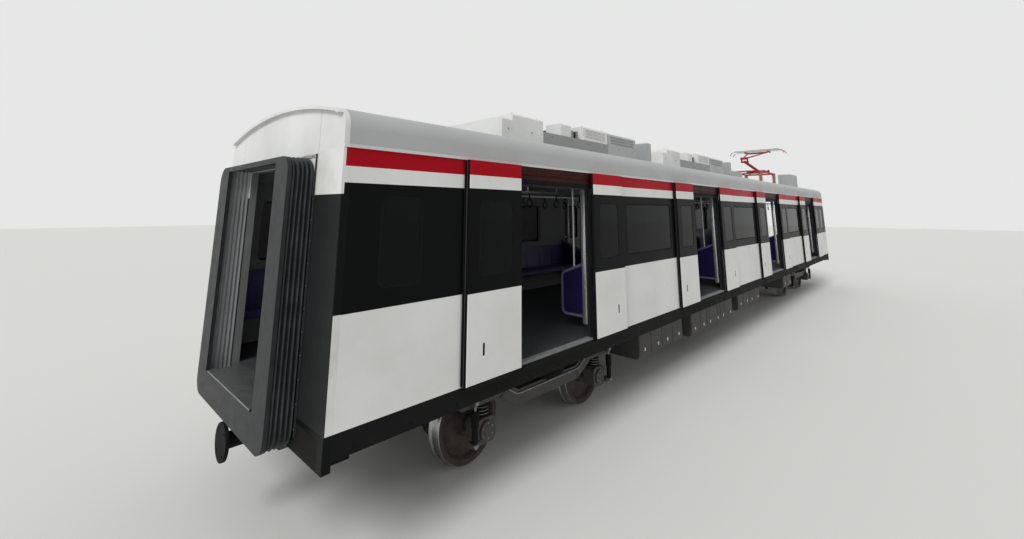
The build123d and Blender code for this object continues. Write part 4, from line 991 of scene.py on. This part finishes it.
collector = {
    "mast": (7.4, railTop + 4.25),
    "springY": 0.16,
    "springRadius": 0.034,
    "springWire": 0.006,
    "springTurns": 15,
    "springRun": 0.546,
    "springBack": 0.87,      # the springs' anchors, behind the mast
    "springEnd": 0.07,       # and the end of their rods
    "turnSteps": 14,
    "damperY": 0.086,
    "damperBack": (0.85, 0.45, 0.08),    # its foot, the top of its tube and the end of its rod
}


def makeCollectorSprings():
    d = collector
    mastX, mastZ = d["mast"]
    baseZ = mastZ - 0.09
    bm = bmesh.new()
    for hand in (-1, 1):
        y, z = hand * d["springY"], baseZ + 0.045
        anchor = Vector((mastX - d["springBack"], y, z))
        stop = anchor + Vector((d["springRun"], 0, 0))
        circle = ring((0, 0, 0), (1, 0, 0), d["springRadius"], d["turnSteps"])
        count = d["springTurns"] * d["turnSteps"]
        coil = [anchor.lerp(stop, k / count) + circle[k % d["turnSteps"]] for k in range(count + 1)]
        addPipe(bm, coil, d["springWire"], 0, 6)
        addRod(bm, (anchor.x - 0.03, y, z), (anchor.x + 0.02, y, z), 0.012, 1)
        addRod(bm, stop, (mastX - d["springEnd"], y, z), 0.009, 1)
        addBox(bm, (anchor.x - 0.05, y - 0.03, baseZ - 0.001), (anchor.x - 0.03, y + 0.03, baseZ + 0.085), 1)
    # damper beside the lower arm's tube
    y, z = d["damperY"], baseZ + 0.04
    foot, top, end = [mastX - back for back in d["damperBack"]]
    addRod(bm, (foot, y, z), (top, y, z), 0.022, 2)
    addRod(bm, (top, y, z), (end, y, z), 0.010, 3)
    addBox(bm, (foot - 0.03, y - 0.02, baseZ - 0.001), (foot + 0.005, y + 0.02, baseZ + 0.065), 1)
    finishPiece(bm, "collectorSprings", "zincPlate collectorEnamel chassisPaint groundStainless")


makeCollectorSprings()
print("collector sprung")


# Wheelsets: turned treads, webs, axle and ventilated brake discs

wheel = {
    "backToBack": 1.358,
    "tyreWidth": 0.135,
    "treadRadius": 0.43,
    "flange": 0.028,
    "flangeThick": 0.032,
    "axleRadius": 0.085,
    "journalRadius": 0.06,
    "journalStart": 0.892,
    "journalEnd": 1.095,
    "discY": 0.35,
    "discHalf": 0.05,
    "discRadius": 0.29,
    "cheek": 0.018,
    "vanes": 24,
    "discBolts": (10, 0.137),        # count, radius of their circle
    "steps": 72,
}


def makeWheelMesh():
    d = wheel
    inner = d["backToBack"] / 2
    outer = inner + d["tyreWidth"]
    tread, rim = d["treadRadius"], d["treadRadius"] - 0.06
    tip, journal = tread + d["flange"], d["journalRadius"]
    # columns: distance from the middle of the axle, radius, finish of the stretch after it
    half = [
        (inner - 0.03, d["axleRadius"], 0), (inner - 0.025, 0.122, 0), (inner - 0.02, 0.126, 0),
        (inner + 0.04, 0.15, 0), (inner + 0.036, 0.24, 0), (inner + 0.034, rim - 0.03, 0),
        (inner + 0.012, rim - 0.012, 0), (inner + 0.001, rim, 1), (inner, rim + 0.01, 1),
        (inner, tip - 0.012, 1), (inner + 0.002, tip - 0.005, 1), (inner + 0.008, tip, 1),
        (inner + 0.018, tip - 0.0005, 1), (inner + 0.026, tip - 0.008, 1),
        (inner + d["flangeThick"], tread + 0.004, 1), (inner + 0.045, tread + 0.0008, 1),
        (inner + 0.07, tread, 1), (outer - 0.012, tread - 0.003, 1), (outer - 0.004, tread - 0.006, 1),
        (outer, tread - 0.012, 0), (outer, rim + 0.004, 0), (outer - 0.006, rim - 0.004, 0),
        (inner + 0.078, rim - 0.03, 0), (inner + 0.083, 0.24, 0), (inner + 0.087, 0.152, 0),
        (outer + 0.006, 0.126, 0), (outer + 0.010, 0.12, 0), (outer + 0.010, journal + 0.016, 0),
        (d["journalStart"], journal + 0.015, 2), (d["journalStart"], journal, 2),
        (d["journalEnd"], journal, 2),
    ]
    tones = [tone for _, _, tone in half[:-1]]
    profile = mirrored([(y, r) for y, r, _ in half])
    axle = (0, 1, 0)
    bm = bmesh.new()
    addLathe(bm, profile, (0, 0, 0), axle, tones[::-1] + [0] + tones, d["steps"])
    # two cheeks of each disc on a bell, with vanes between, and bolts
    reach, radius = d["discHalf"], d["discRadius"]
    bolts, boltCircle = d["discBolts"]
    bell = mirrored([(0.03, 0.158), (0.06, 0.12), (0.06, 0.086)])
    for y in (-d["discY"], d["discY"]):
        for a in (-reach, reach - d["cheek"]):
            b = a + d["cheek"]
            profile = [(a, 0.155), (a, radius - 0.002), (a + 0.002, radius), (b - 0.002, radius),
                       (b, radius - 0.002), (b, 0.155)]
            addLathe(bm, profile, (0, y, 0), axle, 3, d["steps"])
        addLathe(bm, bell, (0, y, 0), axle, 0, 40)
        for t in turns(d["vanes"]):
            out = Vector((math.cos(t), 0, math.sin(t)))
            across, deep = Vector((-out.z, 0, out.x)) * 0.006, Vector((0, reach - 0.01, 0))
            rows = []
            for r in (0.15, radius - 0.012):
                spot = out * r + Vector((0, y, 0))
                rows.append([spot + a * across + b * deep for a, b in ((-1, -1), (1, -1), (1, 1), (-1, 1))])
            addLoft(bm, rows, 0, capped=True)
        for spot in ring((0, y + 0.045, 0), axle, boltCircle, bolts):
            addBolt(bm, spot, axle, 0.009, 4)
    return makeMesh(bm, "wheelsetMesh", "wheelWeb wheelTread chassisPaint brakeDisc zincPlate", 28)


wheelMesh = makeWheelMesh()
for (where, centre), (number, side) in product(bogieCentres.items(), ((1, -1), (2, 1))):
    name = f"wheelset_{where}_{number}"
    placePiece(wheelMesh, f"wheelsetPiece_{where}_{number}", name, [name],
               at=(centre + side * wheelHalfBase, 0, axleZ))
print("wheelsets turned")


# Bogies: layered springs, box covers, dampers, pipes and brake gear details

bogieKit = {
    "journalY": 1.0,
    "springRadius": 0.083,
    "springLow": axleZ + 0.122,
    "springHigh": railTop + 0.688,
    "layers": 4,
    "coverRadius": 0.095,
    "coverBolts": 0.074,     # radius of their circle
    "coverY": 1.115,
    "damperY": 1.135,
    "beamTop": railTop + 0.80,
    "beamMid": railTop + 0.69,
    "beamLow": railTop + 0.52,
    "beamFace": 1.079,       # outer faces of the side beams
    "clips": (-1.2, -0.95, -0.4, 0.0, 0.4, 0.95, 1.2),
    "padOffset": 0.0545,
}


def makeBogieKit(where, centre):
    d = bogieKit
    beamTop, beamMid, beamFace = d["beamTop"], d["beamMid"], d["beamFace"]
    step, r = (d["springHigh"] - d["springLow"]) / d["layers"], d["springRadius"]
    layer = [(0, r - 0.006), (0.0, r + 0.006), (0.004, r + 0.006), (0.004, r - 0.003), (step * 0.6, r),
             (step - 0.001, r - 0.003), (step - 0.001, r - 0.006)]
    cover = [(-0.002, d["coverRadius"] - 0.001), (0.003, d["coverRadius"] - 0.006), (0.004, 0.055),
             (0.012, 0.05), (0.013, 0.0)]
    # damper: from, to, radius, finish, sides
    damper = ((axleZ - 0.06, axleZ + 0.16, 0.032, 3, 20), (axleZ + 0.10, axleZ + 0.25, 0.040, 3, 20),
              (axleZ + 0.24, beamTop - 0.03, 0.014, 1, 12))
    bm = bmesh.new()
    for end, hand in product((-1, 1), (-1, 1)):
        x = centre + end * wheelHalfBase
        # rubber and steel plates of the axlebox spring
        for k in range(d["layers"]):
            foot = (x, hand * d["journalY"], d["springLow"] + k * step)
            addLathe(bm, layer, foot, (0, 0, 1), [1, 1, 1, 0, 0, 0], 28)
        # cover with bolts and a centre cap
        face, out = hand * d["coverY"], (0, hand, 0)
        addLathe(bm, cover, (x, face, axleZ), out, 2)
        for spot in ring((x, face + hand * 0.003, axleZ), out, d["coverBolts"], 12)[1::2]:
            addBolt(bm, spot, out, 0.010, 1)
        # damper between the box and the end of the side beam, with its eyes and brackets
        x, y = x + end * 0.20, hand * d["damperY"]
        for z0, z1, radius, tone, sides in damper:
            addRod(bm, (x, y, z0), (x, y, z1), radius, tone, sides)
        for z in (axleZ - 0.075, beamTop - 0.035):
            addRod(bm, (x, y - 0.03, z), (x, y + 0.03, z), 0.026, 1)
        across = (hand * beamFace, y + hand * 0.012)
        addBlock(bm, x, 0.035, across, (beamTop - 0.075, beamTop - 0.001), 2, 0.004)
        across = (hand * 1.06, y + hand * 0.006)
        addBlock(bm, x - end * 0.025, 0.055, across, (axleZ - 0.10, axleZ - 0.05), 2, 0.004)
    # brake pipes along the side beams, with clips, and plates where the beams are welded
    high, low = beamTop - 0.02, beamMid - 0.04
    route = mirrored([(0.55, low), (0.62, low + 0.01), (0.80, high - 0.015), (0.86, high), (1.35, high)])
    plate = ((0.60, d["beamLow"] + 0.01), (0.88, beamMid - 0.01), (0.80, beamTop - 0.06),
             (0.58, beamMid - 0.03))
    for hand in (-1, 1):
        y = hand * (beamFace + 0.0115)
        addPipe(bm, [(centre + x, y, z) for x, z in route], 0.009, 1)
        for clip in d["clips"]:
            x, z = centre + clip, high if abs(clip) > 0.86 else low
            addBlock(bm, x, 0.012, (hand * beamFace, y + hand * 0.011), (z - 0.014, z + 0.014), 1)
        for end in (-1, 1):
            outline = [(centre + end * x, z) for x, z in plate]
            addLoft(bm, [atY(outline, hand * (beamFace + out)) for out in (0, 0.009)], 2, capped=True)
    # pads beside each disc
    for end, disc, side in product((-1, 1), (-wheel["discY"], wheel["discY"]), (-1, 1)):
        x, y = centre + end * (wheelHalfBase - 0.245), disc + side * d["padOffset"]
        addBlock(bm, x, 0.035, (y - 0.003, y + 0.003), (axleZ - 0.035, axleZ + 0.12), 1, 0.001)
    finishes = "sealRubber zincPlate bogieEnamel chassisPaint"
    finishPiece(bm, f"bogieKit_{where}", finishes, f"bogie_{where}")


for where, centre in bogieCentres.items():
    makeBogieKit(where, centre)
print("bogies equipped")


# Under the floor: lids and latches of the cases, pipes, end sockets

underfloor = {
    "pipeY": (-0.07, 0.0, 0.07),
    "pipeZ": railTop + 0.972,
    "pipeRadius": 0.012,
    "pipeEnd": 6.45,
    "caseReach": 4.9,
    # columns: from and to as a share of the reach, sides that show, depth
    "cases": ((-1.0, -0.67, (-1,), 0.52), (-1.0, -0.76, (1,), 0.48), (-0.59, -0.12, (-1, 1), 0.56),
              (-0.04, 0.31, (-1,), 0.50), (-0.04, 0.22, (1,), 0.54), (0.8, 1.0, (-1, 1), 0.50)),
    "caseY": 1.25,
    "hang": railTop + 0.99,
    "lidWidth": 0.75,
    "lidInset": (0.075, 0.085, 0.02),    # from a case's foot, its top and the line between two lids
    "catches": (0.2, 0.8),               # shares of a lid's length
    "socketY": 0.50,
    "socketZ": railTop + 0.81,
    "socketBolts": (0.085, 0.045),   # from the middle, across and up
}


def makeUnderfloor():
    d = underfloor
    bm = bmesh.new()
    for y in d["pipeY"]:
        addRod(bm, (-d["pipeEnd"], y, d["pipeZ"]), (d["pipeEnd"], y, d["pipeZ"]), d["pipeRadius"], 0, 12)
    foot, top, gap = d["lidInset"]
    for start, stop, hands, depth in d["cases"]:
        x0, x1 = start * d["caseReach"], stop * d["caseReach"]
        z0, z1 = d["hang"] - depth + foot, d["hang"] - top
        lids = max(1, round((x1 - x0) / d["lidWidth"]))
        width = (x1 - x0) / lids
        for hand, k in product(hands, range(lids)):
            y, pinY = hand * d["caseY"], hand * (d["caseY"] + 0.008)
            a, b = x0 + k * width + gap, x0 + (k + 1) * width - gap
            addBox(bm, (a, y, z0), (b, y + hand * 0.006, z1), 1, 0.003)
            for share in d["catches"]:
                x = a + (b - a) * share
                addBlock(bm, x, 0.018, (y + hand * 0.005, y + hand * 0.018), (z0 + 0.03, z0 + 0.08), 2, 0.003)
                addRod(bm, (x - 0.03, pinY, z1 - 0.004), (x + 0.03, pinY, z1 - 0.004), 0.007, 2, 10)
    # blank-faced sockets on the headstocks
    z = d["socketZ"]
    across, up = d["socketBolts"]
    socket = [(-0.002, 0.055), (0.012, 0.052), (0.016, 0.044), (0.017, 0.0)]
    for end, hand in product((-1, 1), (-1, 1)):
        y, face = hand * d["socketY"], end * (bodyEnd - 0.04)
        addBox(bm, (end * (bodyEnd - 0.20), y - 0.11, z - 0.07), (face, y + 0.11, z + 0.0705), 1, 0.006)
        addLathe(bm, socket, (face, y, z), (end, 0, 0), 3, 28)
        for side, way in product((-1, 1), (-1, 1)):
            addBolt(bm, (face, y + side * across, z + way * up), (end, 0, 0), 0.007)
    finishPiece(bm, "underfloorKit", "zincPlate bogieEnamel groundStainless chassisPaint")


makeUnderfloor()
print("underfloor equipped")


# Saloon: ceiling lights, air slot and hanging grips

saloon = {
    "lightY": 0.42,
    "lightHalf": (0.95, 0.055),
    "lights": 9,
    "lightsEnd": 8.7,
    "trimShift": 0.07,
    "ceilingZ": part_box("ceiling")[1].z - 0.016,
    "slotHalf": (9.5, 0.05),
    "grips": (-8.6, 8.7, 0.62),      # from, to, pitch
    "gripRadius": 0.055,
    "gripThick": 0.009,
    "railY": 0.62,
    "railZ": floorTop + 1.85,
}


def makeSaloon():
    d = saloon
    z = d["ceilingZ"]
    long, wide = d["lightHalf"]
    bm = bmesh.new()
    for hand, k in product((-1, 1), range(d["lights"])):
        x, y = -d["lightsEnd"] + k * 2 * d["lightsEnd"] / (d["lights"] - 1), hand * d["lightY"]
        addBlock(bm, x, long, (y - wide, y + wide), (z - 0.022, z), 0, 0.006)
        for trimY in (y - d["trimShift"], y + d["trimShift"]):
            addBlock(bm, x, long, (trimY - 0.006, trimY + 0.006), (z - 0.026, z), 1)
    # air slot along the middle
    reach, half = d["slotHalf"]
    addBlock(bm, 0, reach, (-half, half), (z - 0.012, z), 2, 0.003)
    # grips, each a strap and a ring
    z = d["railZ"]
    for hand, x in product((-1, 1), spread(*d["grips"])):
        y = hand * d["railY"]
        addPipe(bm, [(x, y, z - 0.012), (x, y, z - 0.10)], d["gripThick"], 3, 8)
        addHoop(bm, (x, y, z - 0.10 - d["gripRadius"]), (0, 1, 0), d["gripRadius"], d["gripThick"], 3, 20, 8)
    finishPiece(bm, "saloonFittings", "opalDiffuser anodisedAluminium ductBlack sealRubber")


makeSaloon()
print("saloon fitted")


# Stage, light and camera

studio = {
    "floor": "#D9D9D6",
    "floorReach": 90,
    "floorZ": -0.0015,
    "paperMm": 1500,
    "paperRough": (0.75, 0.9),
    "backdrop": "#E6E7E6",
    "worldLight": 0.55,
    "sun": 2.0,
    "sunAngle": 24,
    "sunWay": (0.72, 0.20, -0.66),
}


def makeStage():
    reach, z = studio["floorReach"], studio["floorZ"]
    mesh = bpy.data.meshes.new("studioFloor")
    corners = [(-reach, -reach, z), (reach, -reach, z), (reach, reach, z), (-reach, reach, z)]
    mesh.from_pydata(corners, [], [(0, 1, 2, 3)])
    floor = addObject("studioFloor", mesh)
    material, tree, shader, place = newMaterial("studioPaper")
    shader.inputs["Base Color"].default_value = toLinear(studio["floor"])
    cloud = addNode(tree, "TexNoise", {"Vector": place, "Scale": perMetre(studio["paperMm"])}).outputs["Fac"]
    rough = addNode(tree, "MapRange", (cloud, 0.0, 1.0, *studio["paperRough"])).outputs[0]
    tree.links.new(rough, shader.inputs["Roughness"])
    mesh.materials.append(material)


def makeLight():
    world = bpy.data.worlds.new("studioWorld")
    bpy.context.scene.world = world
    world.use_nodes = True
    tree = world.node_tree
    tree.nodes.clear()
    # the camera, gloss and glass see the backdrop's colour; everything else gets the plain light
    rays = addNode(tree, "LightPath").outputs
    seen = rays["Is Camera Ray"]
    for kind in ("Is Glossy Ray", "Is Transmission Ray"):
        seen = addNode(tree, "Math", (seen, rays[kind]), operation="MAXIMUM").outputs[0]
    lit = addNode(tree, "Background", {"Color": (1, 1, 1, 1), "Strength": studio["worldLight"]})
    shown = addNode(tree, "Background", {"Color": toLinear(studio["backdrop"]), "Strength": 1.0})
    mix = addNode(tree, "MixShader", (seen, lit.outputs[0], shown.outputs[0]))
    addNode(tree, "OutputWorld", (mix.outputs[0],))
    lamp = bpy.data.lights.new("studioSun", "SUN")
    lamp.energy = studio["sun"]
    lamp.angle = math.radians(studio["sunAngle"])
    way = Vector(studio["sunWay"]).to_track_quat("-Z", "Y")
    addObject("studioSun", lamp).rotation_euler = way.to_euler()


photoView = {
    "frame": (1024, 539),
    "lensPixels": 445.12,
    "centreY": 129.12,       # row of the photograph that the lens points at
    "yaw": 43.51,
    "pitch": 10.36,
    "roll": 0.2,
    "place": (-11.641, -4.915, 2.772),
}


def makeCamera():
    d = photoView
    wide, tall = d["frame"]
    camera = bpy.data.cameras.new("photoCamera")
    camera.sensor_fit = "HORIZONTAL"
    camera.sensor_width = 36
    camera.lens = d["lensPixels"] * 36 / wide
    camera.shift_y = -(tall / 2 - d["centreY"]) / wide
    camera.clip_start, camera.clip_end = 0.05, 300
    yaw, pitch, roll = (math.radians(d[k]) for k in ("yaw", "pitch", "roll"))
    forward = Vector((math.cos(yaw) * math.cos(pitch), math.sin(yaw) * math.cos(pitch), math.sin(pitch)))
    level = Vector((math.sin(yaw), -math.cos(yaw), 0))
    upright = level.cross(forward)
    right = level * math.cos(roll) + upright * math.sin(roll)
    up = upright * math.cos(roll) - level * math.sin(roll)
    holder = addObject("photoCamera", camera)
    holder.matrix_world = Matrix.Translation(d["place"]) @ Matrix((right, up, -forward)).transposed().to_4x4()
    bpy.context.scene.camera = holder


makeStage()
makeLight()
makeCamera()
bpy.context.scene.view_settings.view_transform = "Standard"
print("studio ready")

bpy.context.view_layer.update()
